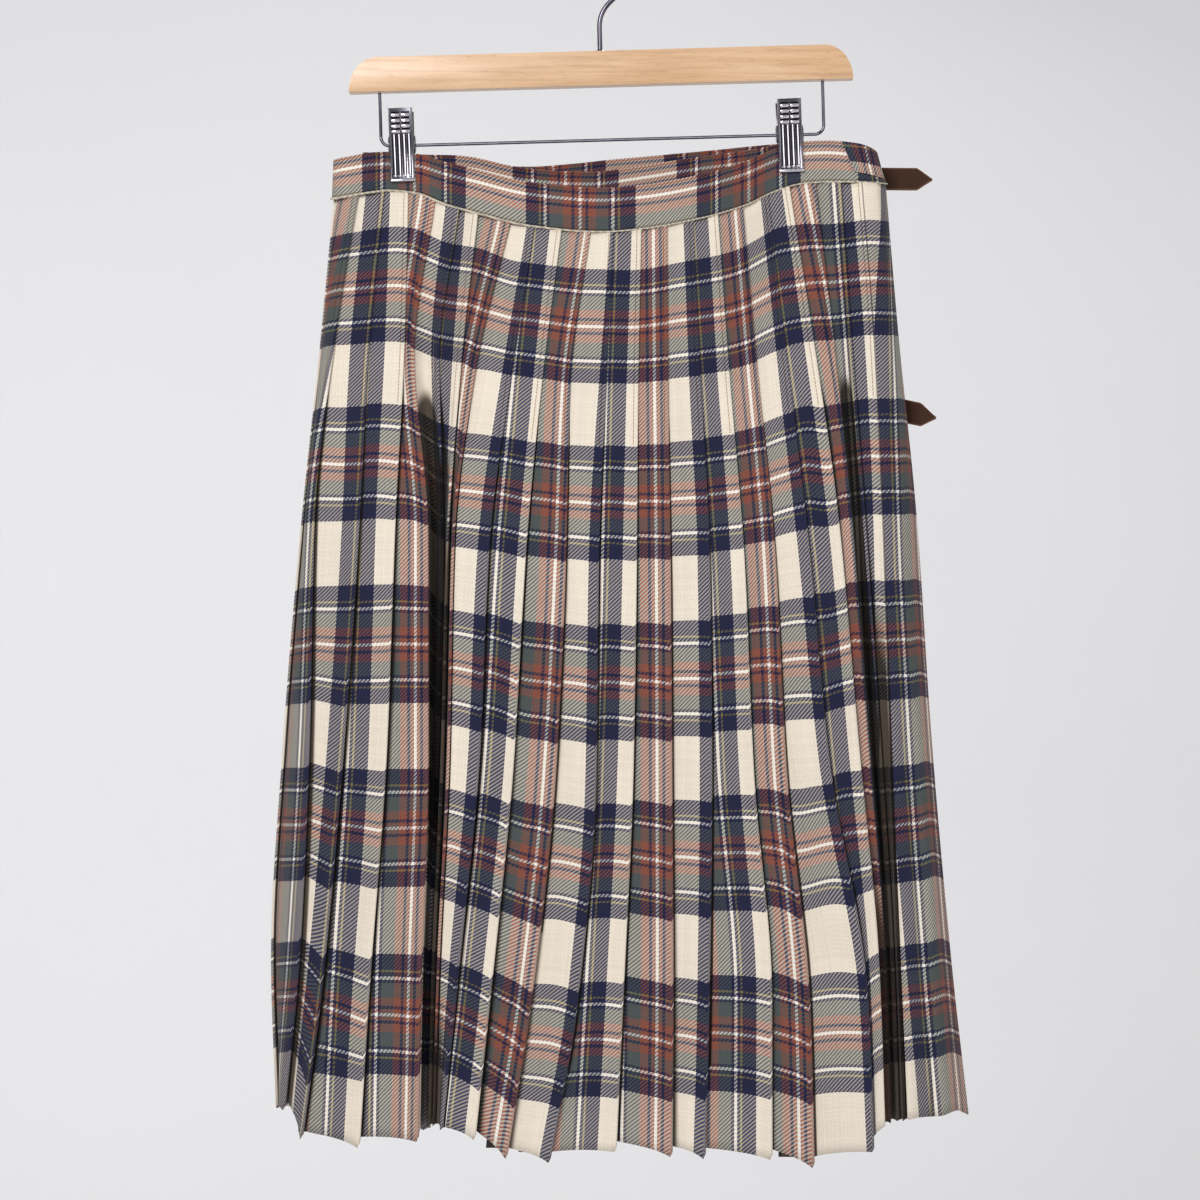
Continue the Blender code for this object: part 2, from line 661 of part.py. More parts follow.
def make_strap_set(row, leather, metal, group):
    """A strap sewn on the over apron, its buckle, and the tab that holds the buckle."""
    name, z, height, droop, root_inset, tip_x, clearance = row
    right = at_level(RIGHT_OUTLINE, strap_level(z))
    over, turned_cloth = strap_surfaces(name, z)
    heel_x = right - HEEL_INSET
    base = max(turned_cloth(heel_x - share * TAB_LEG) for share in (0.0, 0.5, 1.0))
    base += clearance + 0.5 * TAB_WALL
    loop = BUCKLE_WIRE + SEAM_GAP + 0.5 * TAB_WALL
    heel_y = base + loop
    above_heel = base + 2.0 * loop + 0.5 * TAB_WALL + SEAM_GAP + 0.5 * STRAP_WALL
    bar_x = heel_x - BUCKLE_LENGTH
    lying = clearance + 0.5 * STRAP_WALL
    edge = right - OVER_EDGE_INSET
    under_bar = max(over(edge) + lying + 1.0, base + 4.4)
    bar_y = under_bar + 0.5 * STRAP_WALL + SEAM_GAP + BUCKLE_WIRE

    # Tab: a leg on the cloth, round the buckle's heel bar, and back over it.
    tab = [(heel_x - TAB_LEG, base), (heel_x - 0.5 * TAB_LEG, base), (heel_x, base)]
    for degrees in (-45, 0, 45):
        angle = math.radians(degrees)
        tab.append((heel_x + loop * math.cos(angle), heel_y + loop * math.sin(angle)))
    tab.append((heel_x, heel_y + loop))
    tab.append((heel_x - TAB_RETURN, heel_y + loop))
    columns = [(Vector((x, y, z - 0.5 * TAB_HEIGHT)), Vector((x, y, z + 0.5 * TAB_HEIGHT)))
               for x, y in tab]
    sheet_object("buckle_tab_" + name, columns, TAB_WALL, leather, group)

    # Frame: a closed wire, its heel bar in the tab and its other bar over the strap.
    corner = 3.0
    frame = []
    for side_x, side_y, direction in ((heel_x, heel_y, -1.0), (bar_x, bar_y, 1.0)):
        for end in (direction, -direction):
            inner = 1.0 if side_x == heel_x else -1.0
            slope = (bar_y - heel_y) / (bar_x - heel_x)
            cut = side_x - inner * corner * 0.3
            long_cut = side_x - inner * corner
            near_end = (cut, side_y + (cut - side_x) * slope,
                        z - end * (0.5 * BUCKLE_HEIGHT - corner * 0.3))
            along_bar = (side_x, side_y, z - end * (0.5 * BUCKLE_HEIGHT - corner))
            along_side = (long_cut, side_y + (long_cut - side_x) * slope,
                          z - end * 0.5 * BUCKLE_HEIGHT)
            if end == direction:
                frame.extend((along_side, near_end, along_bar))
            else:
                frame.extend((along_bar, near_end, along_side))
    tube_object("buckle_" + name, frame, BUCKLE_WIRE, metal, group, cyclic=True)

    # Strap: from its sewn root over the apron's edge, under the bar, over the heel and out.
    root = right - root_inset
    route = [(root, over(root) + lying),
             (0.5 * (root + edge), over(0.5 * (root + edge)) + lying),
             (edge - 2.0, over(edge - 2.0) + lying),
             (bar_x, under_bar),
             (heel_x - TAB_RETURN - 1.5, above_heel - 0.3),
             (heel_x - 0.5 * TAB_RETURN, above_heel),
             (heel_x + 3.0, above_heel),
             (0.5 * (heel_x + tip_x), above_heel - 1.0),
             (tip_x - STRAP_POINT, above_heel - 2.0),
             (tip_x, above_heel - 2.2)]
    columns = []
    for x, y in route:
        z_middle = z - droop * max(0.0, x - right)
        half = 0.5 * height if x < tip_x - 0.5 else 0.6
        columns.append((Vector((x, y, z_middle - half)), Vector((x, y, z_middle)),
                        Vector((x, y, z_middle + half))))
    sheet_object("strap_" + name, columns, STRAP_WALL, leather, group)


def tilted(point):
    """A point of the upright hanger, turned with it about the crook."""
    x, y, z = point
    return Vector((x * math.cos(HANGER_TILT) - z * math.sin(HANGER_TILT), y,
                   x * math.sin(HANGER_TILT) + z * math.cos(HANGER_TILT)))


def outline_solid(name, outline, half, axis, material, group, rounding=0.0):
    """A flat outline drawn out to both sides along an axis, with rounded edges."""
    count = len(outline)
    points = [Vector(point) - Vector(axis) * half for point in outline]
    points += [Vector(point) + Vector(axis) * half for point in outline]
    faces = [tuple(reversed(range(count))), tuple(range(count, 2 * count))]
    for index in range(count):
        following = (index + 1) % count
        faces.append((index, following, count + following, count + index))
    mesh = bpy.data.meshes.new(name)
    mesh.from_pydata([point * MM for point in points], [], faces)
    thing = link_mesh(name, mesh, material, group)
    if rounding:
        bevel = thing.modifiers.new("rounding", "BEVEL")
        bevel.width = rounding * MM
        bevel.segments = 2
        bevel.limit_method = "ANGLE"
        bevel.angle_limit = math.radians(50.0)
    return thing


def make_bar(material, group):
    """The wooden bar: flat below, with quarter-round shoulders."""
    shoulder = BAR_HALF_LENGTH - BAR_END
    outline = [(-BAR_HALF_LENGTH, 0.0, BAR_BOTTOM), (BAR_HALF_LENGTH, 0.0, BAR_BOTTOM)]
    for side in (1.0, -1.0):
        arc = []
        for step in range(7):
            angle = 0.5 * math.pi * (step + 0.4) / 6.4
            arc.append((side * (shoulder + BAR_END * math.cos(angle)), 0.0,
                        BAR_BOTTOM + (BAR_TOP - BAR_BOTTOM) * math.sin(angle)))
        outline.extend(arc if side > 0.0 else reversed(arc))
    outline = [tilted(point) for point in outline]
    return outline_solid("hanger_bar", outline, 0.5 * BAR_DEPTH, (0.0, -1.0, 0.0),
                         material, group, BAR_ROUNDING)


def make_hook(material, group):
    """The question-mark hook, from the bar's top to the tip of its crook."""
    radius = CROOK_RADIUS + HOOK_WIRE
    middle_z = HOOK_WIRE - radius
    route = [(0.0, 0.0, BAR_TOP + SEAM_GAP), (0.0, 0.0, 0.5 * (BAR_TOP + STEM_BEND))]
    first = math.radians(CROOK_FROM)
    end = Vector((radius * math.cos(first), 0.0, middle_z + radius * math.sin(first)))
    start = Vector((0.0, 0.0, STEM_BEND))
    pull_start = start + Vector((0.0, 0.0, 12.0))
    pull_end = end - Vector((-math.sin(first), 0.0, math.cos(first))) * 9.0
    for step in range(7):
        share = step / 7
        rest = 1.0 - share
        route.append(start * rest ** 3 + pull_start * 3.0 * rest ** 2 * share
                     + pull_end * 3.0 * rest * share ** 2 + end * share ** 3)
    for step in range(25):
        angle = math.radians(CROOK_FROM + (CROOK_TO - CROOK_FROM) * step / 24)
        route.append((radius * math.cos(angle), 0.0, middle_z + radius * math.sin(angle)))
    return tube_object("hanger_hook", [tilted(point) for point in route], HOOK_WIRE,
                       material, group)


def make_wire(material, group):
    """The wire under the bar: two legs joined by the rod that carries the clips."""
    top = BAR_BOTTOM - SEAM_GAP
    route = [(-LEG_X, 0.0, top)]
    for side in (-1.0, 1.0):
        bend = []
        for step in range(6):
            angle = 0.5 * math.pi * step / 5
            bend.append((side * (LEG_X - LEG_BEND + LEG_BEND * math.cos(angle)), 0.0,
                         ROD_Z + LEG_BEND - LEG_BEND * math.sin(angle)))
        route.extend(bend if side < 0.0 else reversed(bend))
    route.append((LEG_X, 0.0, top))
    return tube_object("hanger_wire", [tilted(point) for point in route], ROD_WIRE,
                       material, group)


def clip_place(x, z, across, depth, up):
    """A point of a clip, leaned with it about its middle."""
    return Vector((x + across * math.cos(CLIP_LEAN) - up * math.sin(CLIP_LEAN), depth,
                   z + across * math.sin(CLIP_LEAN) + up * math.cos(CLIP_LEAN)))


def make_clip(name, x, z, material, group):
    """A sprung clip: two plates shut on the band, and a spring round the rod."""
    half = 0.5 * CLIP_HEIGHT
    rod_z = ROD_Z + math.tan(HANGER_TILT) * x
    pivot = rod_z - z
    top_y = JAW_Y + CLIP_SPLAY
    for part, side in (("front", -1.0), ("back", 1.0)):
        profile = [(JAW_Y, -half), (JAW_Y + LIP_WALL, -half),
                   (JAW_Y + LIP_WALL, LIP_HEIGHT - half),
                   (JAW_Y + CLIP_WALL, LIP_HEIGHT - half),
                   (JAW_Y + CLIP_WALL, pivot + 1.0),
                   (top_y + CLIP_WALL, half), (top_y, half), (JAW_Y, pivot)]
        outline = [clip_place(x, z, 0.0, side * depth, up) for depth, up in profile]
        axis = clip_place(0.0, 0.0, 1.0, 0.0, 0.0)
        if side < 0.0:
            outline.reverse()
        outline_solid("clip_" + name + "_" + part, outline, 0.5 * CLIP_WIDTH, axis,
                      material, group, 0.3)

    # The spring is a turned ring on the rod's own line.
    mesh = bpy.data.meshes.new("clip_" + name + "_spring")
    half_length = 0.5 * SPRING_LENGTH
    ring = [(half_length, 0.0, SPRING_RADIUS), (-half_length, 0.0, SPRING_RADIUS),
            (-half_length, 0.0, SPRING_BORE), (half_length, 0.0, SPRING_BORE)]
    mesh.from_pydata([Vector(point) * MM for point in ring],
                     [(0, 1), (1, 2), (2, 3), (3, 0)], [])
    thing = link_mesh("clip_" + name + "_spring", mesh, material, group)
    thing.location = Vector((x, 0.0, rod_z)) * MM
    thing.rotation_euler = (0.0, -HANGER_TILT, 0.0)
    screw = thing.modifiers.new("turn", "SCREW")
    screw.axis = "X"
    screw.steps = SPRING_SIDES
    screw.render_steps = SPRING_SIDES
    screw.use_merge_vertices = True
    screw.merge_threshold = 1e-5


def build():
    clear_scene()
    group = make_collection(COLLECTION)
    cloth = make_material("tartan cloth", (0.55, 0.51, 0.44), 0.9)
    band_cloth = make_material("waistband cloth", (0.22, 0.20, 0.20), 0.9)
    leather = make_material("strap leather", (0.09, 0.045, 0.03), 0.55)
    chrome = make_material("chromed steel", (0.62, 0.62, 0.64), 0.18, 1.0)
    dark_wire = make_material("hook wire", (0.16, 0.15, 0.17), 0.3, 1.0)
    wood = make_material("beech wood", (0.62, 0.42, 0.24), 0.45)

    back_path = band_path(BACK_BAND, BAND_STEPS)
    under_path = band_path(UNDER_BAND, BAND_STEPS)
    over_path = band_path(OVER_BAND, BAND_STEPS)
    make_band("waistband_back", back_path, band_cloth, group)
    make_band("waistband_under", under_path, band_cloth, group)
    make_band("waistband_over", over_path, band_cloth, group)
    make_turn(back_path, band_cloth, group)

    make_pleated_back(seam_finder(back_path), cloth, group)
    make_apron("over_apron",
               lambda level: at_level(LEFT_OUTLINE, level) + SIDE_START + JOINT_GAP,
               lambda level: at_level(RIGHT_OUTLINE, level) - OVER_EDGE_INSET,
               over_depth, seam_finder(over_path), cloth, group)
    far_inset = FAR_TURN[-1][0] + JOINT_GAP
    make_apron("under_apron",
               lambda level: at_level(RIGHT_OUTLINE, level) - far_inset,
               lambda level: at_level(LEFT_OUTLINE, level) + UNDER_EDGE_INSET,
               under_depth, seam_finder(under_path), cloth, group)

    for row in STRAPS:
        make_strap_set(row, leather, chrome, group)

    make_bar(wood, group)
    make_hook(dark_wire, group)
    make_wire(dark_wire, group)
    for name, x, z in CLIPS:
        make_clip(name, x, z, chrome, group)


build()
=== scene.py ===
import collections
import contextlib
import math

import bmesh
import bpy
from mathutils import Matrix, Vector


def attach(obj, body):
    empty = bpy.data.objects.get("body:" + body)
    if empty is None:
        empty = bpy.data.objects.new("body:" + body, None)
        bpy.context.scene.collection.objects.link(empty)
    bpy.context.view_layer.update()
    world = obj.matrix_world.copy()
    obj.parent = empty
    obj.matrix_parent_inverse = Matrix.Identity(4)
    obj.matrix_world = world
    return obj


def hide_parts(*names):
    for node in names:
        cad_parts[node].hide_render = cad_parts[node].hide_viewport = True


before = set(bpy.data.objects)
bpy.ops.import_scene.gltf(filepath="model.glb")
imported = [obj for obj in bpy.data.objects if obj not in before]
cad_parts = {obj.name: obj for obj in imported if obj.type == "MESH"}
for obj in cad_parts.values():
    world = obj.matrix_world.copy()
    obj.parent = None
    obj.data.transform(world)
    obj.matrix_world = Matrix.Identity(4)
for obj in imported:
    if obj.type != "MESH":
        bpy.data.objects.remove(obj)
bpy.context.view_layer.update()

# A Scottish kilt on a wooden clip hanger, seen on its pleated back.  Sizes are in
# millimetres and places are in the CAD model's frame until a mesh is made of them.
MM = 0.001
bpy.ops.object.select_all(action="DESELECT")

# ------------------------------------------------------------------ the model's own tables
VIEW_DISTANCE = 2200.0
VIEW_SIDE = 2.0
VIEW_HEIGHT = -468.0

BAND_WALL = 2.2
BAND_HEIGHT = 31.0
TURN_WALL = 1.0
STRAP_WALL = 2.5
TAB_WALL = 1.2
SEAM_GAP = 0.4
LAYER_STEPS = (1.5, 1.6, 1.8, 2.0, 2.2, 2.4)
PLEAT_CLOTH = 82.6
PLEAT_PROUD = 1.6
PLEAT_DROP = 8.0
FOLD_MARGIN = 5.5
SHORTEST_UNDERLAY = 2.2
TUCKED = ("p01", "p05", "p06", "p07", "p18", "p19", "p20", "p21")
EASE = {"side": 0.84, "p01": 0.84, "p02": 0.87, "p03": 0.93, "p18": 0.93, "p19": 0.91,
        "p20": 0.90, "p21": 0.88}
END_EASE = 0.88
DROP_UNDERLAY = 16.0
WAIST_UNDERLAY = 9.0
HEM_UNDERLAY = 27.0
MIDDLE_SHARE = 0.55
FRONT_LENGTH = 648.0

LEVELS = (0.0, 0.165, 0.357, 0.597, 0.837, 1.0)

PLEATS = (
    # name, x of the folded edge at the six levels, hem z
    ("p01", (-172.8, -190.0, -204.3, -207.9, -215.1, -225.5), -833.7),
    ("p02", (-153.4, -164.2, -172.1, -183.6, -198.6, -213.0), -854.5),
    ("p03", (-136.2, -139.1, -146.3, -152.7, -164.9, -172.1), -860.9),
    ("p04", (-116.9, -131.9, -122.6, -122.6, -127.5, -129.8), -856.6),
    ("p05", (-100.4, -114.7, -111.5, -115.5, -122.0, -124.5), -848.0),
    ("p06", (-86.8, -99.0, -107.8, -112.0, -118.6, -121.3), -845.9),
    ("p07", (-63.8, -88.9, -104.0, -107.6, -115.0, -117.8), -845.1),
    ("p08", (-45.9, -62.4, -78.5, -86.0, -101.8, -112.6), -848.0),
    ("p09", (-26.5, -40.2, -52.3, -61.7, -77.4, -88.9), -855.2),
    ("p10", (-5.7, -20.1, -23.7, -31.5, -48.8, -66.0), -868.8),
    ("p11", (10.8, 5.7, 0.0, -2.2, -15.8, -35.1), -871.7),
    ("p12", (30.8, 28.7, 27.2, 24.4, 17.2, 12.2), -863.8),
    ("p13", (49.5, 50.2, 51.3, 52.3, 53.1, 52.3), -867.4),
    ("p14", (68.1, 73.1, 79.6, 81.0, 78.9, 76.0), -868.8),
    ("p15", (86.0, 93.9, 104.0, 111.1, 124.0, 124.0), -869.5),
    ("p16", (104.0, 114.0, 126.2, 134.8, 151.3, 154.2), -875.3),
    ("p17", (121.9, 134.8, 149.9, 165.5, 192.5, 197.2), -863.8),
    ("p18", (136.9, 154.2, 172.0, 186.5, 201.5, 205.5), -846.0),
    ("p19", (155.6, 168.0, 181.0, 194.0, 206.5, 210.0), -843.0),
    ("p20", (173.5, 181.0, 190.5, 201.5, 211.5, 215.0), -841.6),
    ("p21", (189.3, 197.9, 204.0, 209.5, 215.5, 219.5), -841.6),
)
FOLD_DEPTHS = {
    "p05": (0.0, 4.0, 12.0, 18.0, 24.0, 26.0),
    "p06": (0.0, 1.5, 6.0, 10.0, 15.0, 17.5),
    "p07": (0.0, 0.0, 0.5, 2.5, 6.5, 9.0),
    "p18": (0.0, 0.0, 0.0, 1.0, 4.0, 5.0),
    "p19": (0.0, 0.0, 1.0, 4.0, 9.5, 11.5),
    "p20": (0.0, 1.5, 5.0, 10.0, 15.5, 18.0),
    "p21": (0.0, 0.0, 1.0, 3.0, 6.5, 9.0),
}
VALLEY_FLOORS = {
    "p05": ((-108.5, -124.0, -117.5, -119.0, -125.0, -127.0),
            (0.8, 9.0, 19.0, 25.0, 31.0, 33.0)),
    "p20": ((164.5, 174.0, 186.0, 198.5, 210.0, 213.0),
            (0.5, 6.0, 10.0, 16.0, 21.5, 24.5)),
}
PLAIN_DIP = (0.2, 0.8, 1.2, 1.6, 2.0, 2.4)
DIP_PANEL = 30.0

LEFT_OUTLINE = (-189.3, -199.3, -212.2, -225.1, -233.7, -230.2)
RIGHT_OUTLINE = (206.5, 215.8, 228.7, 239.5, 253.8, 266.0)
NEAR_BULGE = (38.0, 46.0, 52.0, 55.0, 58.0, 60.0)
FAR_BULGE = (9.0, 14.0, 20.0, 25.0, 29.0, 31.0)
NEAR_ROUNDNESS = 2.6
FAR_ROUNDNESS = 4.0
SHAPE_FROM_WAIST = 0.45

BACK_BAND = (
    # x, depth, waist seam z, lean of the top edge in x, drop of the top edge
    (-189.3, -0.3, -180.5, 1.0, 3.5),
    (-189.2, -2.4, -180.4, 1.0, 3.2),
    (-187.0, -6.0, -180.0, 1.0, 2.8),
    (-180.7, -8.8, -179.0, 0.0, 2.5),
    (-164.0, -7.8, -176.0, 0.0, 2.5),
    (-150.0, -3.6, -174.5, 0.0, 3.2),
    (-129.5, -3.6, -176.5, 0.0, 2.6),
    (-108.0, -12.0, -184.5, 0.0, 0.8),
    (-84.0, -22.0, -191.2, 0.0, 0.0),
    (-48.0, -33.0, -199.8, 0.0, 0.0),
    (2.0, -38.0, -204.1, 0.0, 0.0),
    (31.0, -37.0, -202.0, 0.0, 0.0),
    (70.0, -29.0, -195.1, 0.0, 0.0),
    (104.0, -14.5, -185.5, 0.0, 0.0),
    (128.0, -3.6, -174.8, 0.0, 0.5),
    (148.0, -3.6, -169.4, 0.0, 1.0),
    (168.0, -10.0, -168.3, 0.0, 1.5),
    (187.0, -14.0, -168.3, -1.0, 3.5),
    (200.0, -11.0, -169.0, -4.0, 6.5),
    (206.5, -1.0, -169.5, -7.0, 10.0),
    (202.0, 7.0, -169.5, -5.0, 9.0),
    (190.0, 9.2, -169.4, -2.0, 6.0),
    (177.0, 8.2, -169.3, 0.0, 4.0),
    (165.0, 4.8, -169.2, 0.0, 3.0),
    (157.0, 1.6, -169.2, 0.0, 2.0),
)
UNDER_BAND = (
    (156.3, 1.4, -169.2, 0.0, 2.0),
    (148.0, 0.0, -169.0, 0.0, 1.0),
    (128.0, 0.0, -172.6, 0.0, 0.0),
    (108.0, -0.6, -176.5, 0.0, 0.0),
    (67.0, -2.0, -182.0, 0.0, 0.0),
    (30.0, -3.0, -188.0, 0.0, 0.0),
    (-5.0, -4.0, -192.1, 0.0, 0.0),
    (-26.0, -3.5, -191.5, 0.0, 0.0),
    (-57.0, -2.5, -188.5, 0.0, 0.0),
    (-92.0, -1.0, -180.5, 0.0, 0.5),
    (-129.5, 0.0, -175.8, 0.0, 3.5),
    (-150.0, 0.0, -174.2, 0.0, 3.8),
    (-168.0, 1.6, -175.0, 0.0, 3.0),
)
OVER_BAND = (
    (-189.3, 0.3, -180.5, 1.0, 3.5),
    (-189.2, 2.2, -180.4, 1.0, 3.2),
    (-186.5, 5.8, -180.0, 0.5, 3.0),
    (-180.0, 8.0, -179.5, 0.0, 2.5),
    (-165.0, 7.2, -178.5, 0.0, 2.5),
    (-150.0, 3.6, -177.5, 0.0, 2.5),
    (-129.5, 3.6, -178.0, 0.0, 2.0),
    (-105.0, 4.6, -182.5, 0.0, 0.5),
    (-75.0, 5.8, -187.4, 0.0, 0.0),
    (-48.0, 6.8, -188.2, 0.0, 0.0),
    (-20.0, 7.4, -186.4, 0.0, 0.0),
    (7.0, 7.5, -183.5, 0.0, 0.0),
    (45.0, 7.0, -180.0, 0.0, 0.0),
    (90.0, 5.2, -175.8, 0.0, 0.0),
    (128.0, 3.6, -171.6, 0.0, 0.5),
    (148.0, 3.6, -169.8, 0.0, 1.0),
    (157.0, 5.6, -169.6, 0.0, 1.5),
    (165.0, 8.6, -169.4, 0.0, 2.0),
    (172.0, 11.2, -169.2, 0.0, 2.0),
)
BACK_BAND_NEAR = 20
BAND_STEPS = 7
TURN_FROM = 174.0
TURN_TO = 204.5
# The corner strip's slant in columns, where its lower edge lies on the band and how much
# lower that is at its right end, and the cloth's place at its left end and its foot.
CORNER_SLANT = 3.2
CORNER_LOW = 0.25
CORNER_FALL = 0.09
CORNER_CLOTH = (-17.0, 48.25)

RIGHT_TURN = (
    # share of the way from the last fold to the outline, hem z
    (0.0, -841.6),
    (0.30, -838.7),
    (0.58, -838.0),
    (0.84, -834.0),
    (1.00, -837.0),
)
FAR_TURN = (
    # inset from the outline, hem z
    (0.0, -837.0),
    (3.0, -833.0),
    (14.0, -829.0),
    (30.0, -823.0),
    (49.5, -818.5),
)
SIDE_START = 16.0
SIDE_TURN = 8.0
SIDE_FOLD_INSET = 0.4
WAIST_FOLD_INSET = 0.8
SIDE_FOLD_STEP = 9.0
SIDE_HEM = -832.2
SIDE_ROUND = 2.2
EXTREME_BACK = 2.0

JOINT_GAP = 0.6
OVER_SET_BACK = 0.2
APRON_GAPS = (3.0, 3.6, 4.0, 4.2, 4.2, 4.2)
OVER_EDGE_INSET = 34.5
UNDER_EDGE_INSET = 28.0
DRAPE_HEIGHT = 3.0
DRAPE_WIDTH = 118.0

STRAPS = (
    # name, z, height, droop of the tail, root inset, tip x, clearance from the cloth
    ("upper", -163.6, 16.0, 0.02, 54.0, 242.0, 0.7),
    ("lower", -331.4, 17.0, 0.22, 70.0, 244.7, 1.2),
)
# Places across a strap, from edge to edge; and across a tab, with how far each is from its
# stitched edge.
STRAP_ROWS = (-1.0, -0.9, -0.7, -0.35, 0.0, 0.35, 0.7, 0.9, 1.0)
STRAP_CROWN = 0.12
TAB_ROWS = ((0.0, 0.0), (0.06, 0.8), (0.3, 4.0), (0.7, 4.0), (0.94, 0.8), (1.0, 0.0))
STRAP_POINT = 11.0
HEEL_INSET = 11.0
BUCKLE_LENGTH = 16.0
BUCKLE_HEIGHT = 24.0
BUCKLE_WIRE = 1.1
BUCKLE_CORNER = 3.0
BUCKLE_RISE = 4.4
TONGUE_WIRE = 0.75
TONGUE_CURL = 1.7
TAB_LEG = 13.0
TAB_RETURN = 7.0
TAB_HEIGHT = 13.0

HANGER_TILT = math.radians(1.6)
BAR_HALF_LENGTH = 180.5
BAR_TOP = -75.2
BAR_BOTTOM = -99.8
BAR_DEPTH = 12.0
BAR_END = 20.0
HOOK_WIRE = 1.75
CROOK_RADIUS = 19.0
CROOK_FROM = -50.0
CROOK_TO = 205.0
STEM_BEND = -58.0
STEM_PULL = 12.0
CROOK_PULL = 9.0
COLLAR_FOOT = 4.4
COLLAR_TOP = 2.6
COLLAR_HEIGHT = 1.2
ROD_WIRE = 1.15
ROD_Z = -138.3
LEG_X = 158.8
LEG_BEND = 6.5

CLIPS = (
    # name, x, z of the middle
    ("left", -139.8, -142.8),
    ("right", 138.0, -136.0),
)
CLIP_LEAN = math.radians(-2.4)
CLIP_WIDTH = 17.2
CLIP_HEIGHT = 52.3
CLIP_WALL = 1.2
JAW_Y = 5.0
CLIP_SPLAY = 4.4
LIP_HEIGHT = 2.4
LIP_WALL = 2.0
# The pressed ribs and grip bars of a clip's plate, from the middle of the plate.
RIM = 1.1
RIB_PLACES = (-5.3, -1.77, 1.77, 5.3)
RIB_FROM = -20.9
RIB_TO = 7.9
RIB_WIRE = 0.64
# Near-black strips of painted dark reflection beside the ribs: how far aside, and their wire.
GROOVE_ASIDE = 1.1
GROOVE_WIRE = 0.5
KNOB_RADIUS = 1.3
KNOB_Z = -21.9
LIP_BAR = 1.25
LIP_BAR_SUNK = 0.7
GRIP_PLACES = (-3.6, 3.6)
GRIP_HEIGHTS = (9.6, 13.4, 17.3, 21.2)
GRIP_RADIUS = 1.38
GRIP_LENGTH = 6.1
CHEEK_RADIUS = 5.6
SPRING_LENGTH = 10.0
SPRING_RADIUS = 3.6
SPRING_WIRE = 0.5
SPRING_TURNS = 8
SPRING_LEG = 9.0
SPRING_LEG_Y = 4.2

# ------------------------------------------------------------------- the cloth's own sizes
SHELL = 0.7
HALF_WALL = 0.55
CLOTH_LENGTH = 645.8
# Rows of points down the cloth, up a band and up its corner strip; steps along a strap.
CLOTH_ROWS = 82
BAND_ROWS = 9
TURN_ROWS = 8
STRAP_STEPS = 64
# Steps across a panel, round its fold and along each layer of its underlay; how much the
# panel's points crowd towards its ends.
PANEL_STEPS = 10
ROLL_STEPS = 4
UNDERLAY_STEPS = 2
PANEL_CROWDING = 0.35
# Steps across the plain end and round its side, and how much they crowd.
FLARE_STEPS = 18
FLARE_CROWDING = 1.35
SIDE_STEPS = 12
SIDE_CROWDING = 1.3
# How far the hem lifts between two folds, how round an underlay's inner edge is, and the
# share of a panel that is laid under where the pleats are tucked into a valley.
HEM_LIFT = 1.5
UNDERLAY_ROUND = 0.6
TUCK_SHARE = 0.9
VALLEY_TUCK_SHARE = 0.4
# The pleats are pressed thinner from the waist down to this level, and ease over as much.
PRESSED_SHARE = 0.62
PRESSED_TO = 0.2
# Far from every stitched edge.
NO_EDGE = 50.0
# How far aside and how little proud a fold can be and still take light from its neighbours,
# and how dark the painted shade gets as it closes.
SHADE_REACH = 26.0
SHADE_STEP = 0.05
SHADE_FROM = 0.42
SHADE_TO = 0.57
SHADE_DEPTH = 0.09
# Stations at the two ends that face the sides and the front, and lie open.
SIDE_STATIONS = 5
END_STATIONS = 15
# The painted shade between the pleats is weaker at the sewn-down top: share by level.
SHADE_LEVELS = (0.0, 0.16, 0.25, 1.0)
SHADE_SHARES = (0.35, 0.40, 1.0, 1.0)

# The sett: where each colour begins, from the middle of the red to the middle of the
# cream, down the cloth and across it.
SETT_DOWN = (
    62.65,
    ((0.0, "white"), (1.05, "red"), (3.85, "navy"), (5.95, "red"), (11.55, "green"),
     (21.35, "navy"), (23.45, "white"), (25.55, "navy"), (28.35, "olive"), (29.75, "navy"),
     (40.25, "cream")),
)
SETT_ACROSS = (
    59.15,
    ((0.0, "white"), (1.05, "red"), (3.85, "navy"), (5.95, "red"), (11.55, "green"),
     (20.65, "navy"), (22.75, "white"), (24.85, "navy"), (26.95, "olive"), (28.35, "navy"),
     (38.15, "cream")),
)
YARNS = {
    "white": (0.86, 0.82, 0.75),
    "red": (0.350, 0.108, 0.070),
    "navy": (0.021, 0.025, 0.094),
    "green": (0.112, 0.134, 0.130),
    "olive": (0.270, 0.220, 0.070),
    "cream": (0.79, 0.70, 0.580),
}
THREAD = 0.7
# How dark the painted shade on a thread gets where a dark thread lies beneath it.
UNDER_SHADE = 0.27
FIRST_RED_BELOW_SEAM = 66.6
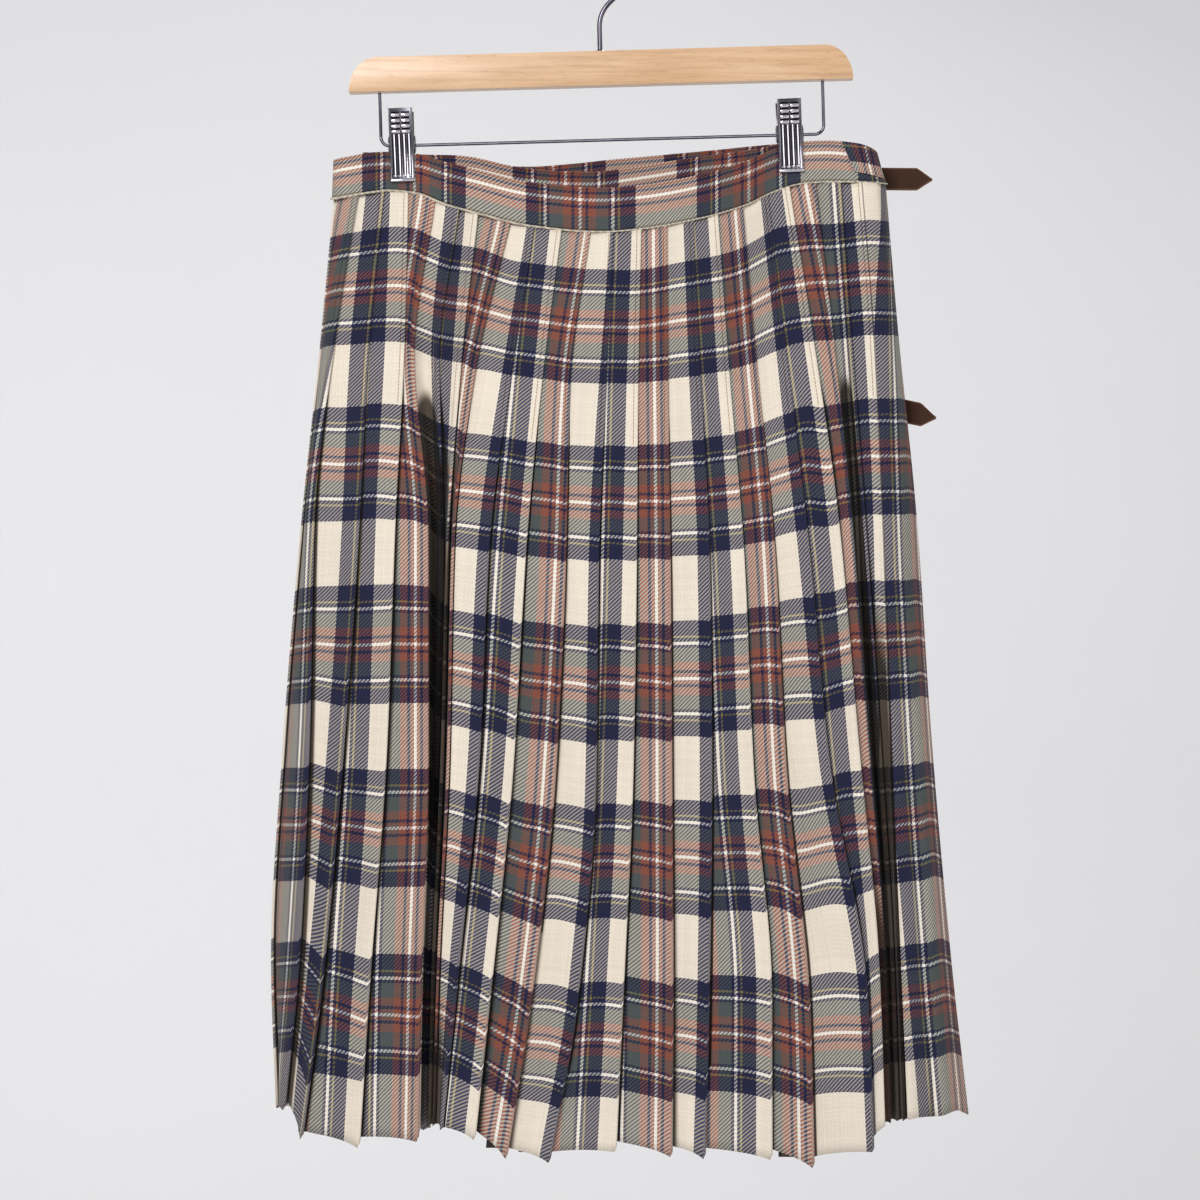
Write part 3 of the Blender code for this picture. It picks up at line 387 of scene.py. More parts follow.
# How far the threads hang below their level: x, then at five levels.
LAG_LEVELS = (0.1, 0.3, 0.5, 0.69, 0.87)
THREAD_LAG = (
    (-230.0, (0.0, 0.0, 3.0, 3.0, -4.0)),
    (-205.0, (0.0, -1.3, 1.0, 2.3, 1.0)),
    (-193.0, (0.0, -2.0, 0.0, -1.0, -7.0)),
    (-184.0, (0.0, -2.2, -0.2, -4.0, -7.0)),
    (-181.0, (0.0, -2.4, -0.4, -2.0, -7.5)),
    (-158.0, (-1.2, -6.1, -6.1, -9.5, -10.4)),
    (-150.0, (-2.0, -6.7, -6.7, -5.5, -4.5)),
    (-140.0, (-3.0, -7.5, -7.5, -6.0, -4.0)),
    (-132.0, (-3.0, -7.0, -8.5, -7.5, -4.5)),
    (-124.0, (-3.0, -6.0, -9.5, -11.5, -8.0)),
    (-106.0, (-2.0, 0.5, 2.0, 4.0, -1.0)),
    (-80.0, (-3.5, 0.0, 3.5, 6.5, 3.0)),
    (-55.0, (-1.0, 0.5, 4.5, 5.5, 2.5)),
    (-26.0, (-1.0, -2.0, 0.0, 0.0, 0.0)),
    (0.0, (-1.0, -2.5, -0.5, 0.0, 0.0)),
    (30.0, (1.5, 0.5, 2.0, 1.5, 1.0)),
    (60.0, (0.5, 0.0, 1.0, 0.0, -1.0)),
    (92.0, (1.0, -1.0, -1.5, -2.5, -3.0)),
    (127.0, (-2.5, -5.0, -6.5, -6.0, -3.5)),
    (145.0, (0.0, -4.5, -4.5, -2.5, -4.0)),
    (165.0, (2.0, 2.0, 0.0, -4.5, -3.5)),
    (195.0, (-1.0, -3.0, -1.0, 1.5, -2.0)),
    (240.0, (-1.0, -2.5, -1.0, 0.0, -3.0)),
)
# How much further they hang on the first faces at the left: at each face's two ends, by
# level.  Between its ends the threads of such a face run straight.  FIRST_FACE is the
# station where the first face begins.
FIRST_FACE = 15
FACE_PITCH = PANEL_STEPS + ROLL_STEPS + 2 * UNDERLAY_STEPS + 2
FACE_LAG_LEVELS = (0.3, 0.444, 0.654, 0.84)
FACE_LAGS = (
    ((0.0, 0.0, 0.0, 5.2), (0.0, 0.0, 0.0, -2.4)),
    ((0.0, 2.0, 1.3, 2.4), (0.0, -4.3, -3.7, 0.6)),
    ((0.0, 0.0, -2.8, -1.6), (0.0, -2.9, -3.4, 2.7)),
    ((0.0, 0.6, -0.6, 4.7), (0.0, -2.8, -1.0, 0.6)),
)
# The left valley's near wall gets less painted shade low down: its stations, and how open
# they are.
LIT_WALL = (86, 125)
LIT_WALL_LEVELS = (0.55, 0.7, 0.85, 1.0)
LIT_WALL_SHARES = (0.0, 0.52, 0.6, 0.6)
PLEATS_TO_TWO_SETTS = 3
RED_PLEAT = 10
# How far past its nominal thread each pleat is folded: at the waist, at 0.3, at the hem.
PHASE_LEVELS = (0.0, 0.3, 1.0)
FOLD_PHASES = (
    (14.5, 26.0, 36.0), (12.5, 13.5, 12.0), (10.5, 12.0, 10.5), (10.0, 8.8, 9.0),
    (11.0, 8.5, 8.0), (8.5, 4.0, 6.0), (7.5, 6.5, 6.0), (6.5, 9.0, 8.0), (6.5, 4.0, 5.5),
    (3.0, 6.3, 8.8), (3.0, 7.6, 8.5), (5.0, 7.6, 11.2), (9.5, 9.2, 11.0), (8.0, 9.2, 8.8),
    (6.0, 7.4, 9.0), (6.0, 7.0, 9.4), (7.0, 8.5, 5.5), (3.2, 5.0, 4.5), (6.0, -5.0, -6.0),
    (-51.0, -50.0, -22.0), (5.6, 4.2, 18.0),
)
# Where the plain end's cream gives way to navy, by level.
END_CREAM_EDGE = (207.0, 200.0, 202.5, 210.0, 223.5, 235.0)
BAND_RED_BELOW_TOP = 8.4
# Columns of the back band that face the front, and those over which its seam's pale edge
# shows; then that edge's wire, how far out and down it lies, and how full it is by x.
FACING_COLUMNS = BACK_BAND_NEAR * BAND_STEPS - 20
SEAM_COLUMNS = BACK_BAND_NEAR * BAND_STEPS - 6
SEAM_WIRE = 0.62
SEAM_OUT = 0.35
SEAM_DOWN = 0.1
SEAM_FULLNESS = ((-190.0, 1.35), (-60.0, 1.25), (40.0, 0.95), (210.0, 0.85))
# Where the back band's cloth lies: x as seen from the front, place on the cloth.
BACK_BAND_CLOTH = (
    (-188.0, -173.0), (-169.0, -156.5), (-155.2, -142.1), (-131.2, -118.3), (-108.6, -94.5),
    (-94.2, -80.2), (-51.3, -38.2), (-37.6, -23.8), (-12.5, 0.0), (10.8, 23.8), (27.2, 38.2),
    (70.8, 80.2), (84.9, 94.5), (107.9, 118.3), (131.1, 142.1), (145.6, 156.5),
)

# Creases in the pleated cloth: soft ridges, and troughs where the height is negative.
CREASES = (
    # pleat, mm left of its fold, level, half its length, half its width, height, slant
    (2, 9.0, 0.16, 0.10, 5.0, -0.9, 20.0),
    (3, 10.0, 0.30, 0.14, 6.0, 0.9, -14.0),
    (3, 14.0, 0.72, 0.20, 8.0, -1.3, 10.0),
    (4, 8.0, 0.18, 0.09, 5.0, -1.0, 26.0),
    (4, 16.0, 0.52, 0.16, 7.0, 1.3, -12.0),
    (4, 20.0, 0.86, 0.12, 9.0, -1.5, 8.0),
    (7, 6.0, 0.22, 0.10, 4.5, 0.8, 18.0),
    (8, 9.0, 0.34, 0.12, 5.0, -0.9, -16.0),
    (8, 7.0, 0.70, 0.18, 5.0, 0.9, 12.0),
    (9, 10.0, 0.13, 0.07, 5.0, 0.8, 24.0),
    (9, 12.0, 0.56, 0.15, 6.0, -1.0, -10.0),
    (10, 11.0, 0.40, 0.20, 6.0, 1.0, 12.0),
    (10, 10.0, 0.84, 0.12, 6.5, -1.3, -14.0),
    (11, 9.0, 0.20, 0.10, 5.5, -0.8, 18.0),
    (11, 15.0, 0.66, 0.18, 7.5, 1.3, 10.0),
    (12, 12.0, 0.46, 0.14, 6.0, -1.0, -12.0),
    (12, 22.0, 0.88, 0.12, 9.0, 1.6, 12.0),
    (13, 9.0, 0.26, 0.12, 5.0, 0.8, 14.0),
    (13, 18.0, 0.78, 0.16, 8.5, -1.4, -8.0),
    (14, 11.0, 0.48, 0.20, 6.0, 1.0, 10.0),
    (14, 9.0, 0.92, 0.08, 6.0, -1.4, 14.0),
    (15, 10.0, 0.17, 0.08, 5.0, -0.8, -18.0),
    (15, 18.0, 0.74, 0.18, 9.0, 1.5, 8.0),
    (16, 12.0, 0.38, 0.14, 6.5, -1.0, 12.0),
    (16, 14.0, 0.88, 0.11, 8.0, 1.4, -10.0),
    (17, 9.0, 0.15, 0.08, 5.0, 0.8, 16.0),
    (17, 17.0, 0.60, 0.20, 8.0, -1.3, 8.0),
    (18, 7.0, 0.30, 0.14, 5.0, 0.9, -12.0),
    (19, 6.0, 0.14, 0.06, 4.5, -0.7, 16.0),
    (20, 8.0, 0.20, 0.10, 4.5, 0.6, -14.0),
)
# Creases in the aprons, by place across from the left outline.
APRON_CREASES = (
    # mm across, level, half its length, half its width, height, slant
    (46.0, 0.20, 0.14, 10.0, 1.0, 40.0),
    (84.0, 0.48, 0.22, 13.0, -1.2, -26.0),
    (131.0, 0.16, 0.10, 9.0, 0.9, 34.0),
    (152.0, 0.70, 0.24, 14.0, 1.3, 18.0),
    (196.0, 0.34, 0.16, 11.0, -1.1, -30.0),
    (233.0, 0.82, 0.14, 13.0, -1.3, 16.0),
    (262.0, 0.22, 0.12, 9.0, 1.0, -36.0),
    (297.0, 0.56, 0.20, 12.0, 1.2, 22.0),
    (336.0, 0.30, 0.12, 9.0, -0.9, 30.0),
    (372.0, 0.78, 0.18, 12.0, 1.1, -18.0),
)
# Small waves along the bands' height, by place along the band.
BAND_CREASES = (
    # mm along, half width, height, slant over the band's height
    (26.0, 9.0, 0.35, 5.0), (58.0, 7.0, -0.40, -6.0), (96.0, 10.0, 0.45, 7.0),
    (141.0, 8.0, -0.35, -4.0), (178.0, 11.0, 0.40, 6.0), (214.0, 8.0, 0.30, -7.0),
    (262.0, 10.0, -0.45, 5.0), (305.0, 8.0, 0.35, -5.0), (349.0, 9.0, -0.35, 6.0),
)
# The two soft folds of the plain end at the right: x by level, height by level, half width.
END_FOLDS = (
    ((197.0, 205.0, 215.0, 229.0, 243.0, 250.0), (0.0, 0.3, 1.0, 2.4, 3.4, 4.0), 10.4),
    ((200.0, 209.0, 219.0, 226.0, 233.0, 237.5), (0.0, -0.2, -0.8, -1.8, -3.0, -3.8), 8.0),
)


# ------------------------------------------------------------------------- reading tables
def eased(share):
    """A share from 0 to 1 that starts and ends slowly."""
    return share * share * (3.0 - 2.0 * share)


def slopes_through(places, values):
    """Slopes at each place for a curve that never overshoots its values."""
    steps = [(values[i + 1] - values[i]) / (places[i + 1] - places[i])
             for i in range(len(places) - 1)]
    middle = [2.0 * before * after / (before + after) if before * after > 0.0 else 0.0
              for before, after in zip(steps, steps[1:])]
    return [steps[0], *middle, steps[-1]]


def read_curve(places, values, place):
    """The value at a place on the smooth curve through a short table."""
    if place <= places[0]:
        return values[0]
    if place >= places[-1]:
        return values[-1]
    slopes = slopes_through(places, values)
    index = max(i for i in range(len(places) - 1) if places[i] <= place)
    width = places[index + 1] - places[index]
    share = (place - places[index]) / width
    rest = 1.0 - share
    return (values[index] * (1.0 + 2.0 * share) * rest * rest
            + slopes[index] * width * share * rest * rest
            + values[index + 1] * share * share * (3.0 - 2.0 * share)
            - slopes[index + 1] * width * share * share * rest)


def at_level(values, level):
    return read_curve(LEVELS, values, level)


def read_rows(rows, place):
    """The same for a table whose rows begin with a place and its value."""
    return read_curve([row[0] for row in rows], [row[1] for row in rows], place)


def travelled(points):
    """Distance of each point from the first, along the path."""
    distances = [0.0]
    for point, following in zip(points, points[1:]):
        distances.append(distances[-1] + math.dist(point, following))
    return distances


def settle(x, depth, z):
    """The true place of a point that looks to be at x, z and lies at this depth."""
    spread = 1.0 + depth / VIEW_DISTANCE
    return Vector((VIEW_SIDE + (x - VIEW_SIDE) * spread,
                   depth,
                   VIEW_HEIGHT + (z - VIEW_HEIGHT) * spread))


def flat_place(x, depth):
    return settle(x, depth, 0.0).to_2d()


def band_path(table):
    """Columns along a stretch of band: foot, and the lean and drop of its top edge."""
    distances = travelled([row[:2] for row in table])
    channels = list(zip(*table))
    columns = []
    for before, after in zip(distances, distances[1:]):
        for step in range(BAND_STEPS):
            share = step / BAND_STEPS
            place = before * (1.0 - share) + after * share
            columns.append([read_curve(distances, channel, place) for channel in channels])
    columns.append(table[-1])
    return [(settle(x, depth, z), lean, drop) for x, depth, z, lean, drop in columns]


def across_share(x, level):
    left = at_level(LEFT_OUTLINE, level)
    right = at_level(RIGHT_OUTLINE, level)
    return max(-1.0, min(1.0, (x - 0.5 * (left + right)) / (0.5 * (right - left))))


def waist_depth(rows, x, level):
    """Depth of a band's path above a place on the cloth below it."""
    left = LEFT_OUTLINE[0]
    right = RIGHT_OUTLINE[0]
    above = 0.5 * (left + right) + across_share(x, level) * 0.5 * (right - left)
    return read_rows(sorted(rows), above)


def from_waist(waist, body, level):
    """The waist's value at the top, which gives way to the body's."""
    share = eased(min(1.0, level / SHAPE_FROM_WAIST))
    return waist * (1.0 - share) + body * share


def near_depth(x, level):
    """Depth of the pleated face."""
    out = 1.0 - abs(across_share(x, level)) ** NEAR_ROUNDNESS
    body = -at_level(NEAR_BULGE, level) * math.sqrt(max(0.0, out))
    return from_waist(waist_depth(BACK_BAND[:BACK_BAND_NEAR], x, level) - PLEAT_PROUD,
                      body, level)


def far_body(x, level):
    """Depth of the hidden side's own round, with its soft upright waves."""
    out = max(0.0, 1.0 - abs(across_share(x, level)) ** FAR_ROUNDNESS)
    body = at_level(FAR_BULGE, level) * out ** (1.0 / FAR_ROUNDNESS)
    wave = DRAPE_HEIGHT * level * math.sin(2.0 * math.pi * x / DRAPE_WIDTH)
    return body + wave * min(1.0, out * 2.0)


def over_depth(x, level):
    return from_waist(waist_depth(OVER_BAND, x, level) + OVER_SET_BACK,
                      far_body(x, level), level)


def under_depth(x, level):
    return over_depth(x, level) - at_level(APRON_GAPS, level)


def wrap_depth(x, level):
    """Depth of the pleated cloth where it has turned to the hidden side."""
    return from_waist(waist_depth(BACK_BAND[BACK_BAND_NEAR - 1:], x, level),
                      far_body(x, level) - at_level(APRON_GAPS, level), level)


def seam_height(path, point):
    """Height of the waist seam where the true path is nearest to a place."""
    nearest = []
    for (first, *_), (second, *_) in zip(path, path[1:]):
        run = (second - first).to_2d()
        offset = point - first.to_2d()
        share = max(0.0, min(1.0, offset.dot(run) / max(run.length_squared, 1e-9)))
        nearest.append(((offset - run * share).length,
                        first.z * (1.0 - share) + second.z * share))
    return min(nearest, key=lambda found: found[0])[1]


def turned(direction):
    """The direction into the kilt from a panel that runs this way."""
    return Vector((-direction.y, direction.x))


def outward_at(path, index):
    """The level direction out of a band at one of its columns."""
    before = path[max(0, index - 1)][0]
    after = path[min(len(path) - 1, index + 1)][0]
    return -turned((after - before).to_2d().normalized()).to_3d()


def hump(away):
    """A soft bump of height 1 that dies out at 1 away."""
    return (1.0 - min(1.0, abs(away)) ** 2) ** 2


def crease_height(creases, across, level):
    """How far the creases lift the cloth at a place."""
    return sum(rise * hump((level - middle) / half_length)
               * hump((across - place - slant * (level - middle)) / half_width)
               for place, middle, half_length, half_width, rise, slant in creases)


# ------------------------------------------------------------------------ the pleated cloth
# One point of a cloth's path: its place, its place on the flat cloth, the height of the hem
# there, and how far it is from a stitched edge.
Station = collections.namedtuple("Station", "place cloth hem edge", defaults=(NO_EDGE,))


def fold_cloth(number, level):
    """Place on the flat cloth of a folded edge."""
    pitch = 4.0 * SETT_ACROSS[0] / PLEATS_TO_TWO_SETTS
    phase = read_curve(PHASE_LEVELS, FOLD_PHASES[max(0, number - 1)], level)
    return pitch * (number - RED_PLEAT) + phase


def curved_panel(start, middle, end):
    """Points from start to end on one smooth curve through middle."""
    share = (middle - start).length
    share /= share + (end - middle).length
    share = max(0.3, min(0.7, share))
    pull = (middle - start * (1.0 - share) ** 2 - end * share ** 2) \
        / (2.0 * share * (1.0 - share))
    points = []
    for step in range(PANEL_STEPS + 1):
        here = step / PANEL_STEPS
        here = eased(here) * PANEL_CROWDING + here * (1.0 - PANEL_CROWDING)
        points.append(start * (1.0 - here) ** 2 + pull * 2.0 * here * (1.0 - here)
                      + end * here ** 2)
    return points


def hidden_layers(fold, along, step, under):
    """The fold, its roll, its underlay, and the layer that comes back out."""
    radius = 0.5 * step
    inward = turned(along)
    points = [fold]
    for turn in range(1, ROLL_STEPS + 1):
        angle = math.pi * turn / ROLL_STEPS
        points.append(fold + along * radius * math.sin(angle)
                      + inward * radius * (1.0 - math.cos(angle)))
    rolled = points[-1]
    deep = fold + inward * step - along * under
    back = fold + inward * 2.0 * step - along * under
    emerging = fold + inward * 2.0 * step
    shares = [turn / UNDERLAY_STEPS for turn in range(1, UNDERLAY_STEPS + 1)]
    return [*points, *(rolled.lerp(deep, share) for share in shares),
            deep.lerp(back, 0.5) - along * radius * UNDERLAY_ROUND, back,
            *(back.lerp(emerging, share) for share in shares)]


def plain_end(level):
    """Places and hems of the end that flares to the outline and turns the side."""
    last_x = at_level(PLEATS[-1][1], level)
    right = at_level(RIGHT_OUTLINE, level)
    end = []
    for step in range(1, FLARE_STEPS + 1):
        share = 1.0 - (1.0 - step / FLARE_STEPS) ** FLARE_CROWDING
        x = last_x + (right - last_x) * share
        blend = share ** 10
        depth = near_depth(x, level) * (1.0 - blend) + EXTREME_BACK * blend
        fade = min(1.0, 4.0 * share, 4.0 * (1.0 - share))
        for places, heights, half_width in END_FOLDS:
            depth -= at_level(heights, level) * fade \
                * hump((x - at_level(places, level)) / half_width)
        end.append((flat_place(x, depth), read_rows(RIGHT_TURN, share)))
    for step in range(1, SIDE_STEPS + 1):
        inset = FAR_TURN[-1][0] * (step / SIDE_STEPS) ** SIDE_CROWDING
        end.append((flat_place(right - inset, wrap_depth(right - inset, level)),
                    read_rows(FAR_TURN, inset)))
    return end


def pleated_stations(level):
    """Every station of the pleated cloth at one level, from the left joint to the right."""
    left = at_level(LEFT_OUTLINE, level)
    start, turn = (flat_place(left + inset, over_depth(left + inset, level))
                   for inset in (SIDE_START, SIDE_TURN))
    inset = from_waist(WAIST_FOLD_INSET, SIDE_FOLD_INSET, level)
    folds = [(flat_place(left + inset, turn.y - SIDE_FOLD_STEP), "side", SIDE_HEM)]
    for name, places, hem in PLEATS:
        x = at_level(places, level)
        behind = at_level(FOLD_DEPTHS.get(name, (0.0,) * len(LEVELS)), level)
        folds.append((flat_place(x, near_depth(x, level) + behind), name, hem))

    stations = []
    middle = emerging = turn
    fold_hem = emerging_hem = SIDE_HEM
    hidden = []

    def add_hidden(layers, cloth_places):
        """Stations on the layers behind the last fold, at their places on the cloth."""
        for rank, (point, cloth) in enumerate(zip(layers, cloth_places), 1):
            lying = min(1.0, rank / ROLL_STEPS)
            stations.append(Station(point, cloth,
                                    fold_hem * (1.0 - lying) + emerging_hem * lying))

    for number, (fold, name, hem) in enumerate(folds):
        panel = fold - emerging
        if name == "p01":
            middle = emerging.lerp(fold, 0.5) - turned(panel.normalized()) * SIDE_ROUND
        elif name in VALLEY_FLOORS:
            places, behind = VALLEY_FLOORS[name]
            x = at_level(places, level)
            middle = flat_place(x, near_depth(x, level) + at_level(behind, level))
        elif number:
            dip = at_level(PLAIN_DIP, level) * min(1.0, panel.length / DIP_PANEL)
            middle = emerging.lerp(fold, MIDDLE_SHARE) + turned(panel.normalized()) * dip
        cloth = fold_cloth(number, level)
        ease = EASE.get(name, 1.0)
        if number:
            points = curved_panel(emerging, middle, fold)
        else:
            points = [start, start.lerp(turn, 0.5), turn, turn.lerp(fold, 0.35),
                      turn.lerp(fold, 0.7), fold]
        distances = travelled(points[::-1])[::-1]

        # The layers before this panel take up the cloth between the two folds.
        if hidden:
            taken = travelled(hidden)
            cloth_from = fold_cloth(number - 1, level)
            cloth_to = cloth - distances[0] * ease
            add_hidden(hidden[1:-1],
                       [cloth_from + (way if rank <= ROLL_STEPS else
                                      (cloth_to - cloth_from) * way / taken[-1])
                        for rank, way in enumerate(taken[1:-1], 1)])
        creases = [row[1:] for row in CREASES if row[0] == number]
        last = len(points) - 1
        for rank, (point, distance) in enumerate(zip(points, distances)):
            share = rank / last
            here = emerging_hem * (1.0 - share) + hem * share
            if 0 < rank < last:
                here += HEM_LIFT * math.sin(math.pi * share)
                outward = -turned((points[rank + 1] - points[rank - 1]).normalized())
                point = point + outward * crease_height(creases, distance, level)
            stations.append(Station(point, cloth - distance * ease, here,
                                    distance if number else NO_EDGE))

        under = min(0.5 * (PLEAT_CLOTH - panel.length), panel.length - FOLD_MARGIN,
                    WAIST_UNDERLAY + (HEM_UNDERLAY - WAIST_UNDERLAY) * level)
        step = min(at_level(LAYER_STEPS, level), max(LAYER_STEPS[0], 0.2 * panel.length))
        if name in TUCKED:
            under = (VALLEY_TUCK_SHARE if name in VALLEY_FLOORS else TUCK_SHARE) \
                * (fold - middle).length
        else:
            freed = max(0.0, min(1.0, level / PRESSED_TO - 1.0))
            step *= PRESSED_SHARE + (1.0 - PRESSED_SHARE) * freed
        under = max(SHORTEST_UNDERLAY, under)
        hidden = hidden_layers(fold, (fold - middle).normalized(), step, under)
        fold_hem = hem
        emerging_hem = hem + PLEAT_DROP * min(1.0, under / DROP_UNDERLAY)
        emerging = hidden[-1]

    # The last layers, and the plain end, whose cream gives way to navy at its table's edge.
    cloth_from = fold_cloth(len(PLEATS), level)
    pitch = 2.0 * SETT_ACROSS[0]
    shown = at_level(END_CREAM_EDGE, level) - at_level(PLEATS[-1][1], level)
    cloth_to = 5.0 * pitch - SETT_ACROSS[1][-1][0] - END_EASE * shown
    last = len(hidden) - 1
    add_hidden(hidden[1:], [cloth_from + (cloth_to - cloth_from) * rank / last
                            for rank in range(1, last + 1)])
    cloth = cloth_to
    for place, hem in plain_end(level):
        cloth += END_EASE * (place - stations[-1].place).length
        stations.append(Station(place, cloth, hem))
    return stations


def apron_stations(level, first, last, depth_at, cloth, way, lift, count):
    """Stations of a plain panel between two edges; its cloth runs on from the pleats'."""
    stations = []
    for step in range(count):
        x = first + (last - first) * step / (count - 1)
        height = crease_height(APRON_CREASES, x - at_level(LEFT_OUTLINE, level), level)
        place = flat_place(x, depth_at(x, level) + height * lift)
        if stations:
            cloth += way * (place - stations[-1].place).length
        stations.append(Station(place, cloth, 0.0, abs(last - x)))
    return stations


# ------------------------------------------------------------------------- meshes of cloth
def round_edges(thing, width, segments, sharper_than):
    """Round the edges that turn by more than this many degrees."""
    rounding = thing.modifiers.new("rounding", "BEVEL")
    rounding.width = width * MM
    rounding.segments = segments
    rounding.limit_method = "ANGLE"
    rounding.angle_limit = math.radians(sharper_than)


def cloth_object(name, columns, material, shell=SHELL, bevel=0.0):
    """A shell of cloth through upright columns of points.

    Each point is given as its place, its place on the flat cloth, which the pattern
    follows, its distance from the nearest stitched edge, and how open it lies.
    """
    height = len(columns[0])
    places, spots, edges, opens = zip(*(point for column in columns for point in column))
    faces = []
    for across in range(len(columns) - 1):
        for up in range(height - 1):
            low = across * height + up
            faces.append((low, low + height, low + height + 1, low + 1))
    mesh = bpy.data.meshes.new(name)
    mesh.from_pydata([tuple(place * MM) for place in places], [], faces)
    layer = mesh.uv_layers.new(name="cloth")
    for loop in mesh.loops:
        u, v = spots[loop.vertex_index]
        layer.data[loop.index].uv = (u * MM, v * MM)
    for label, values in (("edge", [edge * MM for edge in edges]), ("open", opens)):
        mesh.attributes.new(label, "FLOAT", "POINT").data.foreach_set("value", values)
    mesh.shade_smooth()
    thing = bpy.data.objects.new(name, mesh)
    thing.data.materials.append(material)
    bpy.context.scene.collection.objects.link(thing)
    wall = thing.modifiers.new("wall", "SOLIDIFY")
    wall.thickness = shell * MM
    wall.offset = 0.0
    wall.use_even_offset = True
    if bevel:
        round_edges(thing, bevel, 3, 55.0)
    return thing


def thread_lags(section, level):
    """How far below their level the threads hang at each station."""
    places = [row[0] for row in THREAD_LAG]
    lags = [read_curve(LAG_LEVELS, row[1], level) for row in THREAD_LAG]
    return [read_curve(places, lags, station.place.x) for station in section]


def face_lags(section, level, heights, lags):
    """The same with the first faces' threads drawn straight from end to end."""
    straight = read_curve(FACE_LAG_LEVELS[:2], (0.0, 1.0), level)
    ends = [[read_curve(FACE_LAG_LEVELS, end, level) for end in face] for face in FACE_LAGS]
    drawn = list(lags)
    for face, (near_lag, far_lag) in enumerate(ends):
        first = FIRST_FACE + face * FACE_PITCH
        last = first + PANEL_STEPS
        run = travelled([station.place for station in section[first:last + 1]])
        begin, end = heights[first] - lags[first], heights[last] - lags[last]
        for index, way in enumerate(run, first):
            share = way / run[-1]
            bow = heights[index] - lags[index] - (begin + (end - begin) * share)
            drawn[index] += bow * straight + near_lag + (far_lag - near_lag) * share
        next_lag = ends[face + 1][0] if face + 1 < len(ends) else 0.0
        between = FACE_PITCH - PANEL_STEPS
        for step in range(1, between):
            drawn[last + step] += far_lag + (next_lag - far_lag) * step / between
    return drawn


def open_share(places):
    """How much of the light from the front reaches each point of a folded section; it sets
    the painted shade.
    """
    shares = [1.0] * len(places)
    for rank in range(SIDE_STATIONS, len(places) - END_STATIONS):
        place = places[rank]
        left = right = 0.0
        for other in places:
            aside = other.x - place.x
            proud = place.y - other.y
            if proud > SHADE_STEP and abs(aside) <= SHADE_REACH:
                rise = proud / math.hypot(proud, aside)
                if aside < 0.0:
                    left = max(left, rise)
                else:
                    right = max(right, rise)
        shares[rank] = 1.0 - 0.5 * (left + right)
    return shares


def hanging_cloth(name, sections, path, material, front_length=None):
    """The shell of a panel from its stations at every level."""
    tops = [seam_height(path, station.place) - SEAM_GAP for station in sections[0]]
    columns = [[] for _ in tops]
    for section, level in zip(sections, cloth_levels):
        if front_length:
            heights = [top - front_length * level for top in tops]
            opens, lags = [1.0] * len(tops), [0.0] * len(tops)
        else:
            hems = [settle(0.0, station.place.y, station.hem).z for station in section]
            heights = [top + (hem - top) * level for top, hem in zip(tops, hems)]
            opens = open_share([station.place for station in section])
            # Painted shade is lifted on the left valley's near wall low down.
            least = read_curve(LIT_WALL_LEVELS, LIT_WALL_SHARES, level)
            for index in range(*LIT_WALL):
                opens[index] = max(opens[index], least)
            lags = face_lags(section, level, heights, thread_lags(section, level))
        # The painted fold shade is weaker near the sewn-down top.
        pressed = read_curve(SHADE_LEVELS, SHADE_SHARES, level)
        for column, station, z, lit, lag in zip(columns, section, heights, opens, lags):
            column.append((Vector((*station.place, z)),
                           (station.cloth,
                            CLOTH_LENGTH * level - FIRST_RED_BELOW_SEAM - lag),
                           station.edge, 1.0 - (1.0 - lit) * pressed))
    return cloth_object(name, columns, material)


def band_cloth(path, arc):
    """Places on the back band's cloth, by its table and beyond it by the band's length."""
    seen = [VIEW_SIDE + (foot.x - VIEW_SIDE) * VIEW_DISTANCE / (VIEW_DISTANCE + foot.y)
            for foot, _, _ in path]
    reached = [index for index, x in enumerate(seen[:FACING_COLUMNS])
               if BACK_BAND_CLOTH[0][0] <= x <= BACK_BAND_CLOTH[-1][0]]
    cloth = []
    for index, place in enumerate(arc):
        known = min(max(index, reached[0]), reached[-1])
        cloth.append(read_rows(BACK_BAND_CLOTH, seen[known]) + place - arc[known])
    return cloth


def band_object(name, path, red_x, direction):
    """A stretch of waistband with its rounded edges."""
    arc = travelled([foot for foot, _, _ in path])
    if red_x is None:
        cloth = band_cloth(path, arc)
    else:
        red = min(range(len(path)), key=lambda index: abs(path[index][0].x - red_x))
        cloth = [direction * (place - arc[red]) for place in arc]
    columns = []
    for index, (foot, lean, drop) in enumerate(path):
        outward = outward_at(path, index)
        tall = BAND_HEIGHT - drop
        column = []
        for row in range(BAND_ROWS):
            share = row / (BAND_ROWS - 1)
            height = sum(rise * hump((arc[index] - place - slant * (share - 0.5))
                                     / half_width)
                         for place, half_width, rise, slant in BAND_CREASES)
            height *= math.sin(math.pi * share) ** 0.5 if 0.0 < share < 1.0 else 0.0
            column.append((foot + Vector((lean * share, 0.0, tall * share))
                           + outward * height,
                           (cloth[index], tall * (1.0 - share) - BAND_RED_BELOW_TOP),
                           min(share, 1.0 - share) * tall, 1.0))
        columns.append(column)
    wall = BAND_WALL - 0.2
    return cloth_object(name, columns, BAND_WOOL, wall, 0.35 * wall)


# ------------------------------------------------------------------------------- materials
FLOAT, VECTOR, COLOUR = "NodeSocketFloat", "NodeSocketVector", "NodeSocketColor"


